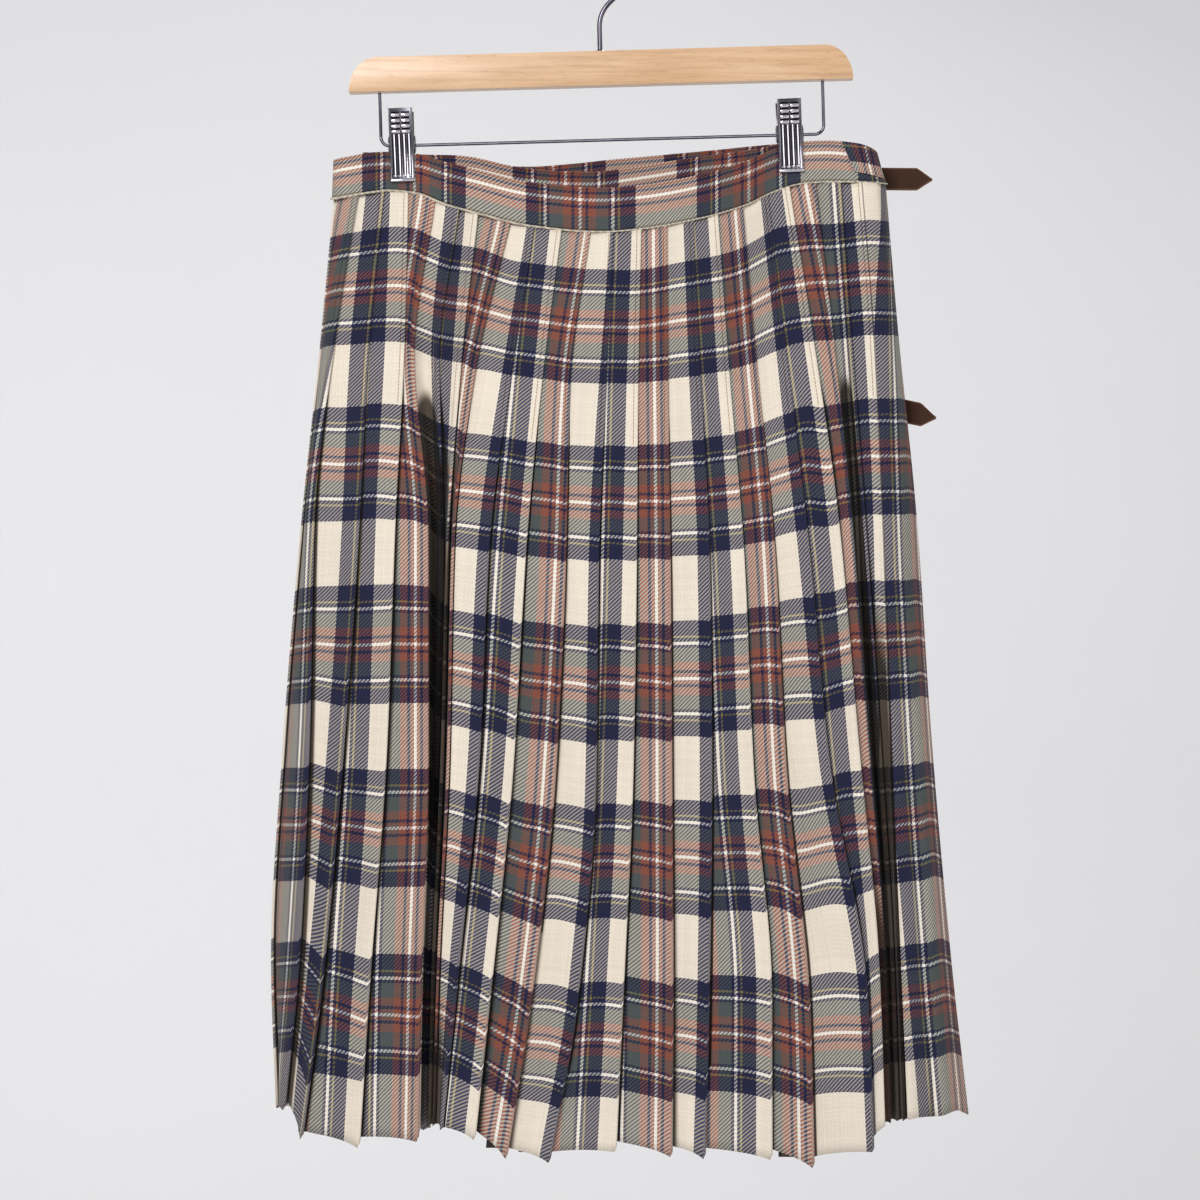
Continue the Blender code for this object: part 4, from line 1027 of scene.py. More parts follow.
class Nodes:
    """A node tree and short ways to add to it.  A source is a socket or a plain value."""

    def __init__(self, tree):
        self.tree = tree

    def join(self, source, target):
        if isinstance(source, (int, float, tuple)):
            target.default_value = source
        else:
            self.tree.links.new(source, target)

    def add(self, kind, sources=None, **settings):
        """A node with its settings, and its inputs joined to their sources."""
        made = self.tree.nodes.new(kind)
        for name, value in settings.items():
            setattr(made, name, value)
        for name, source in (sources or {}).items():
            self.join(source, made.inputs[name])
        return made

    def math(self, operation, *values, clamp=False):
        return self.add("ShaderNodeMath", dict(enumerate(values)), operation=operation,
                        use_clamp=clamp).outputs[0]

    def mix(self, share, first, second, blend="MIX"):
        return self.add("ShaderNodeMix", {0: share, 6: first, 7: second}, data_type="RGBA",
                        blend_type=blend, clamp_factor=True).outputs[2]

    def ramp(self, value, *stops, interpolation="LINEAR"):
        made = self.add("ShaderNodeValToRGB", {0: value})
        ramp = made.color_ramp
        ramp.interpolation = interpolation
        while len(ramp.elements) > 1:
            ramp.elements.remove(ramp.elements[-1])
        for rank, (place, colour) in enumerate(stops):
            stop = ramp.elements.new(place) if rank else ramp.elements[0]
            stop.position = place
            stop.color = (*colour, 1.0)
        return made.outputs[0]

    def noise(self, place, scale, detail=2.0, distortion=0.0):
        return self.add("ShaderNodeTexNoise",
                        {"Vector": place, "Scale": scale, "Detail": detail,
                         "Distortion": distortion}).outputs[0]

    def relief(self, height, distance, strength):
        """Normals that follow a height; the distance is in millimetres."""
        return self.add("ShaderNodeBump", {"Height": height, "Distance": distance * MM,
                                           "Strength": strength}).outputs[0]

    def attribute(self, name):
        return self.add("ShaderNodeAttribute", attribute_name=name).outputs["Fac"]


class Group(Nodes):
    """A node group: (name, kind, default) for each input, (name, kind) for each output."""

    def __init__(self, name, inputs, outputs):
        super().__init__(bpy.data.node_groups.new(name, "ShaderNodeTree"))
        for label, kind, default in inputs:
            made = self.tree.interface.new_socket(label, in_out="INPUT", socket_type=kind)
            if default is not None:
                made.default_value = default
        for label, kind in outputs:
            self.tree.interface.new_socket(label, in_out="OUTPUT", socket_type=kind)
        self.given = self.add("NodeGroupInput").outputs
        self.wanted = self.add("NodeGroupOutput").inputs


class Material(Nodes):
    """A new material; place is where a point lies on its object."""

    def __init__(self, name):
        self.made = bpy.data.materials.new(name)
        self.made.use_nodes = True
        super().__init__(self.made.node_tree)

    def place(self):
        return self.add("ShaderNodeTexCoord").outputs["Object"]

    def finished(self, colour, roughness, **others):
        """The material, with its other inputs named with _ for each space."""
        inputs = self.tree.nodes["Principled BSDF"].inputs
        self.join(colour, inputs["Base Color"])
        self.join(roughness, inputs["Roughness"])
        for name, source in others.items():
            self.join(source, inputs[name.replace("_", " ")])
        return self.made


def scaled(colour, share):
    """A colour made darker or lighter, with its alpha."""
    return (*(min(1.0, share * value) for value in colour), 1.0)


def sett_stripes_group(name, sett):
    """The colour of a thread at its place across the sett."""
    half, stripes = sett
    group = Group(name, [("Place", FLOAT, 0.0)], [("Colour", COLOUR)])
    folded = group.math("PINGPONG", group.given["Place"], half * MM)
    stops = [(place / half, YARNS[yarn]) for place, yarn in stripes]
    group.join(group.ramp(group.math("DIVIDE", folded, half * MM), *stops,
                          interpolation="CONSTANT"), group.wanted["Colour"])
    return group.tree


def tartan_group(stripes_across, stripes_down):
    """Twill tartan: the thread on top at each crossing, its colour with painted shade, and
    its relief.
    """
    group = Group(
        "Tartan twill",
        [("Cloth place", VECTOR, None), ("Relief", FLOAT, 0.5), ("Fuzz", FLOAT, 0.12)],
        [("Colour", COLOUR), ("Normal", VECTOR)])
    do = group.math
    cloth_place = group.given["Cloth place"]
    parts = group.add("ShaderNodeSeparateXYZ", {0: cloth_place}).outputs
    numbers, colours, tops, shades = [], [], [], []
    for along, stripes in ((parts[0], stripes_across), (parts[1], stripes_down)):
        count = do("DIVIDE", along, THREAD * MM)
        number = do("FLOOR", count)
        thread = group.add("ShaderNodeGroup", node_tree=stripes)
        group.join(do("MULTIPLY", number, THREAD * MM), thread.inputs["Place"])
        away = do("ABSOLUTE", do("SUBTRACT", do("FRACT", count), 0.5))
        uneven = group.add("ShaderNodeTexWhiteNoise", noise_dimensions="1D")
        group.join(number, uneven.inputs["W"])
        numbers.append(number)
        colours.append(thread.outputs["Colour"])
        tops.append(do("SUBTRACT", 1.0, do("MULTIPLY", do("POWER", away, 2.0), 4.0)))
        shades.append(do("MULTIPLY_ADD", uneven.outputs["Value"], 0.12, 0.94))
    on_top = do("LESS_THAN", do("FLOORED_MODULO", do("ADD", *numbers), 4.0), 1.5)

    def of_top(warp, weft):
        """The value of whichever thread is on top."""
        return do("ADD", do("MULTIPLY", on_top, warp),
                  do("MULTIPLY", do("SUBTRACT", 1.0, on_top), weft))

    # Painted shade: the top thread is darker where the thread beneath it is dark.
    beneath = group.mix(on_top, *colours)
    grey_beneath = group.add("ShaderNodeRGBToBW", {0: beneath}).outputs[0]
    painted_under_shade = do("MULTIPLY_ADD", do("POWER", grey_beneath, 0.5),
              (1.0 - UNDER_SHADE) / 0.82, UNDER_SHADE, clamp=True)
    height = of_top(*tops)
    lint = group.noise(cloth_place, 900.0, 3.0)
    shade = of_top(*shades)
    # Per-thread tone, painted shade at the thread edges and from the thread beneath, lint and
    # broad tone.
    for factor in (do("MULTIPLY_ADD", height, 0.24, 0.82), painted_under_shade,
                   do("MULTIPLY_ADD", lint, 0.24, 0.88),
                   do("MULTIPLY_ADD", group.noise(cloth_place, 22.0, 3.0), 0.16, 0.93)):
        shade = do("MULTIPLY", shade, factor)
    grey = group.add("ShaderNodeCombineColor", {0: shade, 1: shade, 2: shade}).outputs[0]
    shaded = group.mix(1.0, group.mix(on_top, *reversed(colours)), grey, "MULTIPLY")
    napped = group.mix(do("MULTIPLY", group.given["Fuzz"], lint), shaded,
                       (0.30, 0.28, 0.26, 1.0))
    group.join(napped, group.wanted["Colour"])
    group.join(group.relief(do("ADD", height, do("MULTIPLY", lint, 0.5)), 0.18,
                            group.given["Relief"]), group.wanted["Normal"])
    return group.tree


def stitch_group():
    """A row of stitches at a distance from an edge, over a stretch of the cloth."""
    group = Group(
        "Edge stitches",
        [("Cloth place", VECTOR, None), ("Edge", FLOAT, 0.0), ("Inset", FLOAT, 1.4 * MM),
         ("Half width", FLOAT, 0.3 * MM), ("Stitch", FLOAT, 2.6 * MM), ("Until", FLOAT, 1.0)],
        [("Mask", FLOAT)])
    do, given = group.math, group.given
    down = group.add("ShaderNodeSeparateXYZ", {0: given["Cloth place"]}).outputs[1]
    away = do("ABSOLUTE", do("SUBTRACT", given["Edge"], given["Inset"]))
    on_line = do("LESS_THAN", away, given["Half width"])
    thread = do("LESS_THAN", do("FRACT", do("DIVIDE", down, given["Stitch"])), 0.85)
    above = do("LESS_THAN", down, given["Until"])
    group.join(do("MULTIPLY", do("MULTIPLY", on_line, thread), above), group.wanted["Mask"])
    return group.tree


def fold_shade_group():
    """Painted shade, warm-tinted, that deepens where the cloth lies under or between folds.
    """
    group = Group("Fold shade", [("Colour", COLOUR, None), ("Open", FLOAT, 1.0)],
                  [("Colour", COLOUR)])
    near = group.add("ShaderNodeMapRange",
                     {"Value": group.given["Open"], "From Min": SHADE_FROM,
                      "From Max": SHADE_TO, "To Min": SHADE_DEPTH, "To Max": 1.0},
                     interpolation_type="SMOOTHSTEP").outputs[0]
    tint = group.add("ShaderNodeCombineColor",
                     {slot: group.math("POWER", near, power)
                      for slot, power in enumerate((0.94, 1.0, 1.05))}).outputs[0]
    group.join(group.mix(1.0, group.given["Colour"], tint, "MULTIPLY"),
               group.wanted["Colour"])
    return group.tree


def wool_material(name, until, inset):
    made = Material(name)
    place = made.add("ShaderNodeUVMap", uv_map="cloth").outputs[0]
    weave = made.add("ShaderNodeGroup", node_tree=tartan)
    sewn = made.add("ShaderNodeGroup", node_tree=stitches)
    # The fold shade group paints shade into the colour by how open each point lies.
    painted_fold_shade = made.add("ShaderNodeGroup", node_tree=fold_shade)
    woven = weave.outputs["Colour"]
    pressed = made.mix(1.0, woven, (0.52, 0.39, 0.29, 1.0), "MULTIPLY")
    for group, sources in (
            (weave, {"Cloth place": place, "Relief": 0.5, "Fuzz": 0.03}),
            (sewn, {"Cloth place": place, "Edge": made.attribute("edge"),
                    "Inset": inset * MM, "Until": until * MM}),
            (painted_fold_shade, {"Colour": made.mix(sewn.outputs[0], woven, pressed),
                    "Open": made.attribute("open")})):
        for label, source in sources.items():
            made.join(source, group.inputs[label])
    return made.finished(painted_fold_shade.outputs[0], 0.92, Normal=weave.outputs["Normal"],
                         Specular_IOR_Level=0.22, Sheen_Weight=0.12, Sheen_Roughness=0.45,
                         Sheen_Tint=(0.95, 0.92, 0.88, 1.0))


def thread_material(name, colour):
    """Spun cotton with painted shade on a slant where its plies turn under."""
    made = Material(name)
    place = made.place()
    lint = made.noise(place, 1400.0, 4.0)
    twist = made.add("ShaderNodeTexWave", {"Vector": place, "Scale": 120.0,
                                           "Distortion": 1.2}, bands_direction="DIAGONAL")
    spun = made.mix(lint, scaled(colour, 0.72), (*colour, 1.0))
    ply_shaded = made.mix(made.math("MULTIPLY", twist.outputs["Fac"], 0.8), spun,
                     scaled(colour, 0.42))
    return made.finished(ply_shaded, 0.9, Normal=made.relief(lint, 0.2, 0.5), Sheen_Weight=0.15)


def leather_material():
    """Dark smooth leather with fine pores and a paler cut edge."""
    made = Material("strap leather")
    place = made.place()
    pores = made.add("ShaderNodeTexVoronoi", {"Vector": place, "Scale": 1500.0})
    pull_up = made.noise(place, 140.0, 5.0)
    body = made.mix(pull_up, (0.030, 0.012, 0.006, 1.0), (0.060, 0.027, 0.015, 1.0))
    rim = made.ramp(made.math("DIVIDE", made.attribute("edge"), 1.2 * MM),
                    (0.0, (1.0, 1.0, 1.0)), (0.75, (0.55, 0.55, 0.55)),
                    (1.0, (0.0, 0.0, 0.0)))
    grain = made.math("ADD", pores.outputs["Distance"], made.math("MULTIPLY", pull_up, 0.8))
    return made.finished(made.mix(rim, body, (0.135, 0.066, 0.043, 1.0)),
                         made.math("MULTIPLY_ADD", pull_up, 0.2, 0.66),
                         Normal=made.relief(grain, 0.12, 0.4), Specular_IOR_Level=0.16)


def metal_material(name, light, dark, roughness):
    """Plated steel with faint cloudiness and fine wear."""
    made = Material(name)
    cloud = made.noise(made.place(), 260.0, 4.0)
    return made.finished(made.mix(cloud, (*dark, 1.0), (*light, 1.0)),
                         made.math("MULTIPLY_ADD", cloud, 0.10, roughness), Metallic=1.0)


def wire_material():
    """Wire with painted reflection: bright where it faces front and back, dark where it faces
    up and down.
    """
    made = Material("rod wire painted reflection")
    reflection_jitter = made.math("MULTIPLY_ADD", made.noise(made.place(), 160.0), 0.08, -0.04)
    facing = made.add("ShaderNodeNewGeometry").outputs["Normal"]
    level = made.math("ABSOLUTE", made.add("ShaderNodeSeparateXYZ", {0: facing}).outputs[1])
    # The ramp paints the reflection by the way the wire faces; noise jitters its edge.
    colour = made.ramp(made.math("ADD", level, reflection_jitter),
                       (0.0, (0.018, 0.013, 0.022)), (0.86, (0.040, 0.030, 0.060)),
                       (0.97, (0.50, 0.45, 0.56)), (1.0, (0.80, 0.77, 0.82)))
    return made.finished(colour, 0.14, Metallic=1.0)


def wood_material():
    """Lacquered beech: long soft grain with short darker flecks."""
    made = Material("lacquered beech")
    place = made.place()
    long_grain, short_grain = (
        made.add("ShaderNodeMapping", {"Vector": place, "Scale": stretch}).outputs[0]
        for stretch in ((6.0, 60.0, 120.0), (160.0, 900.0, 1100.0)))
    flecks = made.noise(short_grain, 1.0)
    body = made.ramp(made.noise(long_grain, 2.2, 6.0, 0.6),
                     (0.28, (0.50, 0.295, 0.150)), (0.5, (0.625, 0.385, 0.212)),
                     (0.72, (0.70, 0.465, 0.28)))
    dots = made.ramp(flecks, (0.60, (0.0, 0.0, 0.0)), (0.74, (0.5, 0.5, 0.5)))
    return made.finished(made.mix(dots, body, (0.40, 0.22, 0.10, 1.0)), 0.38,
                         Normal=made.relief(flecks, 0.1, 0.2), Coat_Weight=0.35,
                         Coat_Roughness=0.2)


def paint_material(name, colour):
    made = Material(name)
    return made.finished(made.mix(made.noise(made.place(), 3.0), (*colour, 1.0),
                                  scaled(colour, 1.02)), 0.9)


tartan = tartan_group(sett_stripes_group("Sett stripes across", SETT_ACROSS),
                      sett_stripes_group("Sett stripes down", SETT_DOWN))
stitches = stitch_group()
fold_shade = fold_shade_group()
# For each wool: how far down the cloth its edge stitches go, and how far in they lie.
PLEAT_WOOL = wool_material("pleated wool", 84.0, 2.2)
APRON_WOOL = wool_material("apron wool", 900.0, 6.0)
BAND_WOOL = wool_material("waistband wool", 900.0, 1.6)
SEAM_COTTON = thread_material("seam cotton", (0.70, 0.61, 0.47))
LEATHER = leather_material()
# Painted reflection: a clip's plate is chrome made dark and its ribs chrome made bright, for
# the room they reflect.
CHROME, CLIP_PLATE_DARK_REFLECTION, CLIP_RIB_BRIGHT_REFLECTION, CLIP_GROOVE_DARK_REFLECTION, DARK_REFLECTION_CHROME = (
    metal_material(name, light, dark, roughness) for name, light, dark, roughness in (
        ("chromed steel", (0.86, 0.86, 0.87), (0.74, 0.74, 0.76), 0.07),
        ("clip plate dark reflection", (0.17, 0.16, 0.18), (0.10, 0.095, 0.11), 0.16),
        ("clip rib bright reflection", (0.80, 0.77, 0.83), (0.66, 0.63, 0.70), 0.12),
        # Near-black strips of painted dark reflection in the clips' grooves.
        ("clip groove dark reflection", (0.020, 0.014, 0.026), (0.012, 0.010, 0.016), 0.30),
        # The hook's wire is chrome made dark: painted dark reflection.
        ("hook wire", (0.14, 0.125, 0.155), (0.08, 0.07, 0.09), 0.10)))
PAINTED_REFLECTION_WIRE = wire_material()
BEECH = wood_material()
WALL_PAINT = paint_material("wall paint", (0.74, 0.735, 0.74))


# ------------------------------------------------------------------------- working by hand
def active(thing):
    bpy.ops.object.select_all(action="DESELECT")
    thing.select_set(True)
    bpy.context.view_layer.objects.active = thing
    return thing


def settled(thing):
    """Put the object's place, turn and size into its mesh."""
    active(thing)
    bpy.ops.object.transform_apply(location=True, rotation=True, scale=True)
    return thing


@contextlib.contextmanager
def editing():
    """Edit mode for the active object, and out of it again."""
    bpy.ops.object.mode_set(mode="EDIT")
    yield
    bpy.ops.object.mode_set(mode="OBJECT")


def block(size, place=(0.0, 0.0, 0.0)):
    bpy.ops.mesh.primitive_cube_add(size=1.0, location=Vector(place) * MM)
    bpy.context.object.scale = Vector(size) * MM
    return settled(bpy.context.object)


def cylinder_across(radius, length, place, sides):
    bpy.ops.mesh.primitive_cylinder_add(vertices=sides, radius=radius * MM,
                                        depth=length * MM, location=Vector(place) * MM)
    bpy.context.object.rotation_euler = (0.0, 0.5 * math.pi, 0.0)
    return settled(bpy.context.object)


def ball(radius, place, segments, rings):
    bpy.ops.mesh.primitive_uv_sphere_add(segments=segments, ring_count=rings,
                                         radius=radius * MM, location=Vector(place) * MM)
    return settled(bpy.context.object)


def pick(thing, kind, wanted):
    """In edit mode, select only the faces, edges or verts for which wanted is true."""
    bpy.ops.mesh.select_mode(type=kind.upper())
    bpy.ops.mesh.select_all(action="DESELECT")
    form = bmesh.from_edit_mesh(thing.data)
    for element in {"vert": form.verts, "edge": form.edges, "face": form.faces}[kind]:
        if wanted(element):
            element.select_set(True)
    form.select_flush_mode()
    bmesh.update_edit_mesh(thing.data)


def cut_at(place, normal):
    """Cut the mesh in edit mode by a plane."""
    bpy.ops.mesh.select_all(action="SELECT")
    bpy.ops.mesh.bisect(plane_co=Vector(place) * MM, plane_no=normal)


def apply_rounding(thing, width, segments, sharper_than):
    round_edges(thing, width, segments, sharper_than)
    active(thing)
    bpy.ops.object.modifier_apply(modifier="rounding")


def declare(thing, slot, *nodes):
    """Hang the piece on the root body and hide the CAD nodes it stands for; the slot, what it
    is made of, is not used.
    """
    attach(thing, "root")
    if nodes:
        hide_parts(*nodes)


def finish_piece(thing, name, material, slot, *nodes):
    thing.name = name
    thing.data.name = name
    if material:
        thing.data.materials.clear()
        thing.data.materials.append(material)
    active(thing)
    bpy.ops.object.shade_smooth_by_angle(angle=math.radians(32.0))
    declare(thing, slot, *nodes)


def joined(parts):
    """The parts made one object, each in its turn, so that their order stays the same."""
    for part in parts[1:]:
        active(parts[0])
        part.select_set(True)
        bpy.ops.object.join()
    return parts[0]


def made_of(material, thing):
    thing.data.materials.append(material)
    return thing


def wire_along(name, points, radius, closed=False, sides=4, fullness=None):
    """A wire through points, made a mesh with welded caps."""
    curve = bpy.data.curves.new(name, "CURVE")
    curve.dimensions = "3D"
    curve.bevel_depth = radius * MM
    curve.bevel_resolution = sides
    curve.use_fill_caps = not closed
    spline = curve.splines.new("POLY")
    spline.points.add(len(points) - 1)
    for rank, (spot, point) in enumerate(zip(spline.points, points)):
        spot.co = (*(Vector(point) * MM), 1.0)
        spot.radius = fullness[rank] if fullness else 1.0
    spline.use_cyclic_u = closed
    thing = bpy.data.objects.new(name, curve)
    bpy.context.scene.collection.objects.link(thing)
    active(thing)
    bpy.ops.object.convert(target="MESH")
    with editing():
        bpy.ops.mesh.select_all(action="SELECT")
        bpy.ops.mesh.remove_doubles(threshold=1e-6)
        bpy.ops.mesh.normals_make_consistent(inside=False)
    return bpy.context.object


def arc_points(centre, radius, first, last, steps):
    """Points round a centre from one angle to another, in degrees."""
    angles = [math.radians(first + (last - first) * step / steps)
              for step in range(steps + 1)]
    return [(centre[0] + radius * math.cos(angle), centre[1] + radius * math.sin(angle))
            for angle in angles]


def tilted(point):
    """A point of the upright hanger, turned with it about the crook."""
    x, y, z = point
    return Vector((x * math.cos(HANGER_TILT) - z * math.sin(HANGER_TILT), y,
                   x * math.sin(HANGER_TILT) + z * math.cos(HANGER_TILT)))


# ------------------------------------------------------------------------------- the cloth
def declare_cloth(thing, slot, node):
    declare(thing, slot, node)


def make_apron(name, path, depth_at, way, joint, lift, count, edges):
    """An apron from the joint with the pleats; way is how its cloth counts from there."""
    sections = [apron_stations(level, *edges(at_level(LEFT_OUTLINE, level),
                                             at_level(RIGHT_OUTLINE, level)),
                               depth_at, section[joint].cloth, way, lift, count)
                for level, section in zip(cloth_levels, pleated_sections)]
    cloth = hanging_cloth(name + "_apron_cloth", sections, path, APRON_WOOL, FRONT_LENGTH)
    declare_cloth(cloth, "tartan", name + "_apron")


back_path, under_path, over_path = map(band_path, (BACK_BAND, UNDER_BAND, OVER_BAND))
cloth_levels = [index / (CLOTH_ROWS - 1) for index in range(CLOTH_ROWS)]
pleated_sections = [pleated_stations(level) for level in cloth_levels]
pleated_cloth = hanging_cloth("pleated_cloth", pleated_sections, back_path, PLEAT_WOOL)
declare_cloth(pleated_cloth, "tartan", "pleated_back")
make_apron("over", over_path, over_depth, -1.0, 0, 1.0, 96,
           lambda left, right: (left + SIDE_START + JOINT_GAP, right - OVER_EDGE_INSET))
make_apron("under", under_path, under_depth, 1.0, -1, 0.4, 88,
           lambda left, right: (right - FAR_TURN[-1][0] - JOINT_GAP,
                                left + UNDER_EDGE_INSET))
for name, path, red_x, direction, flat, gripped_by in (
        ("back", back_path, None, 1.0, (0.48, 0.031), "clip_left_front"),
        ("under", under_path, -24.0, -1.0, (0.326, 0.031), "clip_left_back"),
        ("over", over_path, -34.0, 1.0, (0.37, 0.031), "clip_left_back")):
    declare_cloth(band_object(name + "_band_cloth", path, red_x, direction), "band",
                  "waistband_" + name)


def corner_strip():
    """The folded end of the band that lies on its right corner, cut on the slant."""
    clearance = 0.5 * BAND_WALL + SEAM_GAP + 0.5 * TURN_WALL
    chosen = [index for index, (foot, _, _) in enumerate(back_path)
              if TURN_FROM < foot.x < TURN_TO and foot.y < 0.0]
    distances = travelled([back_path[index][0] for index in chosen])
    columns = []
    for rank, (index, distance) in enumerate(zip(chosen, distances)):
        ahead = rank / (len(chosen) - 1)
        low_share = CORNER_LOW - CORNER_FALL * ahead
        tall = (1.0 - low_share) * (BAND_HEIGHT - back_path[index][2])
        column = []
        for row in range(TURN_ROWS):
            up = row / (TURN_ROWS - 1)
            slid = index + CORNER_SLANT * (1.0 - up) * (1.0 - ahead)
            low = int(slid)
            (foot, lean, drop), (next_foot, next_lean, next_drop) = back_path[low:low + 2]
            foot, top, away = (first.lerp(second, slid - low) for first, second in (
                (foot, next_foot),
                (foot + Vector((lean, 0.0, BAND_HEIGHT - drop)),
                 next_foot + Vector((next_lean, 0.0, BAND_HEIGHT - next_drop))),
                (outward_at(back_path, low), outward_at(back_path, low + 1))))
            column.append((foot.lerp(top, low_share + (1.0 - low_share) * up)
                           + away.normalized() * clearance,
                           (CORNER_CLOTH[0] + distance, CORNER_CLOTH[1] - tall * up),
                           tall * up, 1.0))
        columns.append(column)
    return cloth_object("corner_strip_cloth", columns, BAND_WOOL, TURN_WALL, 0.3)


def seam_line():
    """The pale edge that shows under the band along the waist seam, fuller at the left."""
    shown = range(2, SEAM_COLUMNS)
    out = 0.5 * BAND_WALL + SEAM_OUT
    points = [back_path[index][0] + outward_at(back_path, index) * out
              - Vector((0.0, 0.0, SEAM_DOWN)) for index in shown]
    fullness = [read_rows(SEAM_FULLNESS, back_path[index][0].x) for index in shown]
    return wire_along("waist_seam_line", points, SEAM_WIRE, sides=2, fullness=fullness)


declare_cloth(corner_strip(), "band", "waistband_turn")
finish_piece(seam_line(), "waist_seam_line", SEAM_COTTON, "band")


# ---------------------------------------------------------------------- straps and buckles
def strap_surfaces(name, level):
    """Depth of the outer face under a strap, on the over apron and on the turned cloth."""
    if name == "upper":
        return [lambda x, rows=sorted(rows): read_rows(rows, x) + 0.5 * BAND_WALL
                for rows in (OVER_BAND, BACK_BAND[BACK_BAND_NEAR - 1:])]
    return [lambda x, depth_at=depth_at: depth_at(x, level) + HALF_WALL
            for depth_at in (over_depth, wrap_depth)]


def make_strap_set(name, z, height, droop, root_inset, tip_x, clearance):
    """A strap with its tab and buckle; heel is the buckle's bar in the tab."""
    level = max(0.0, (-170.0 - z) / FRONT_LENGTH)
    right = at_level(RIGHT_OUTLINE, level)
    over, turned_cloth = strap_surfaces(name, level)
    heel_x = right - HEEL_INSET
    base = max(turned_cloth(heel_x - share * TAB_LEG) for share in (0.0, 0.5, 1.0))
    base += clearance + 0.5 * TAB_WALL
    loop = BUCKLE_WIRE + SEAM_GAP + 0.5 * TAB_WALL
    heel_y = base + loop
    above_heel = base + 2.0 * loop + 0.5 * TAB_WALL + SEAM_GAP + 0.5 * STRAP_WALL
    bar_x = heel_x - BUCKLE_LENGTH
    lying = clearance + 0.5 * STRAP_WALL
    edge_x = right - OVER_EDGE_INSET
    under_bar = max(over(edge_x) + lying + 1.0, base + BUCKLE_RISE)
    bar_y = under_bar + 0.5 * STRAP_WALL + SEAM_GAP + BUCKLE_WIRE

    # The tab: a leg on the cloth, round the heel bar, and back over it.
    tab = [(heel_x - TAB_LEG, base), (heel_x - 0.5 * TAB_LEG, base), (heel_x, base),
           *arc_points((heel_x, heel_y), loop, -67.5, 67.5, 6),
           (heel_x, heel_y + loop), (heel_x - TAB_RETURN, heel_y + loop)]
    columns = [[(Vector((x, y, z + (share - 0.5) * TAB_HEIGHT)), (x, rank), edge, 1.0)
                for rank, (share, edge) in enumerate(TAB_ROWS)] for x, y in tab]
    declare(cloth_object("buckle_tab_leather_" + name, columns, LEATHER, TAB_WALL, 0.3),
            "leather", "buckle_tab_" + name)

    # The frame, rounder at its corners, with the tongue from its heel bar.
    slope = (bar_y - heel_y) / (bar_x - heel_x)
    up = 0.5 * BUCKLE_HEIGHT - BUCKLE_CORNER
    near_x, far_x = heel_x - BUCKLE_CORNER, bar_x + BUCKLE_CORNER
    ring = [(x, heel_y + (x - heel_x) * slope, ring_z)
            for centre, first in (((near_x, z + up), 0.0), ((far_x, z + up), 90.0),
                                  ((far_x, z - up), 180.0), ((near_x, z - up), 270.0))
            for x, ring_z in arc_points(centre, BUCKLE_CORNER, first, first + 90.0, 5)]
    tongue = [(x, y, z) for x, y in (
        *arc_points((heel_x, heel_y), TONGUE_CURL, 200.0, 350.0, 3),
        *arc_points((heel_x, heel_y), TONGUE_CURL, 40.0, 90.0, 1),
        (heel_x - 4.0, above_heel + 0.5 * STRAP_WALL + 0.7),
        (heel_x - 9.0, 0.5 * (above_heel + bar_y) + 1.9),
        (bar_x + 1.0, bar_y + BUCKLE_WIRE + 0.75),
        (bar_x - 1.2, bar_y + BUCKLE_WIRE + 0.6))]
    finish_piece(joined([wire_along("frame", ring, BUCKLE_WIRE, closed=True),
                         wire_along("tongue", tongue, TONGUE_WIRE, sides=3)]),
                 "buckle_frame_" + name, CHROME, "chrome", "buckle_" + name)

    # The strap: from its sewn root over the apron's edge, under the bar and over the heel.
    root = right - root_inset
    route = [*((x, over(x) + lying) for x in (root, 0.5 * (root + edge_x), edge_x - 2.0)),
             (bar_x, under_bar),
             (heel_x - TAB_RETURN - 1.5, above_heel - 0.3),
             (heel_x - 0.5 * TAB_RETURN, above_heel),
             (heel_x + 3.0, above_heel),
             (0.5 * (heel_x + tip_x), above_heel - 1.0),
             (tip_x - STRAP_POINT, above_heel - 2.0),
             (tip_x, above_heel - 2.2)]
    distances = travelled(route)
    columns = []
    for step in range(STRAP_STEPS + 1):
        x, y = (read_curve(distances, values, distances[-1] * step / STRAP_STEPS)
                for values in zip(*route))
        z_middle = z - droop * max(0.0, x - right)
        point_share = max(0.0, (x - (tip_x - STRAP_POINT)) / STRAP_POINT)
        wide = 0.5 * height * (1.0 - point_share) + 0.5 * point_share
        columns.append([
            (Vector((x, y + STRAP_CROWN * (1.0 - share * share), z_middle + share * wide)),
             (x, share * wide),
             min((1.0 - abs(share)) * wide, abs(x - root), abs(tip_x - x)), 1.0)
            for share in STRAP_ROWS])
    declare(cloth_object("strap_leather_" + name, columns, LEATHER, STRAP_WALL, 0.5),
            "leather", "strap_" + name)


for strap_row in STRAPS:
    make_strap_set(*strap_row)


# ------------------------------------------------------------------------------ the hanger
def make_bar():
    """The beech bar: a block whose top corners are rounded to quarter ellipses."""
    square = BAR_END + 0.01
    bar = block((2.0 * BAR_HALF_LENGTH, BAR_DEPTH, square))
    with editing():
        pick(bar, "edge", lambda edge: all(v.co.z > 0.0 for v in edge.verts)
             and edge.verts[0].co.x * edge.verts[1].co.x > 0.0
             and abs(edge.verts[0].co.y - edge.verts[1].co.y) > 1.0 * MM)
        bpy.ops.mesh.bevel(offset=BAR_END * MM, segments=18)
    bar.scale = (1.0, 1.0, (BAR_TOP - BAR_BOTTOM) / square)
    apply_rounding(settled(bar), 2.0, 4, 50.0)
    bar.location = tilted((0.0, 0.0, 0.5 * (BAR_TOP + BAR_BOTTOM))) * MM
    bar.rotation_euler = (0.0, -HANGER_TILT, 0.0)
    finish_piece(settled(bar), "beech_bar", BEECH, "wood", "hanger_bar")


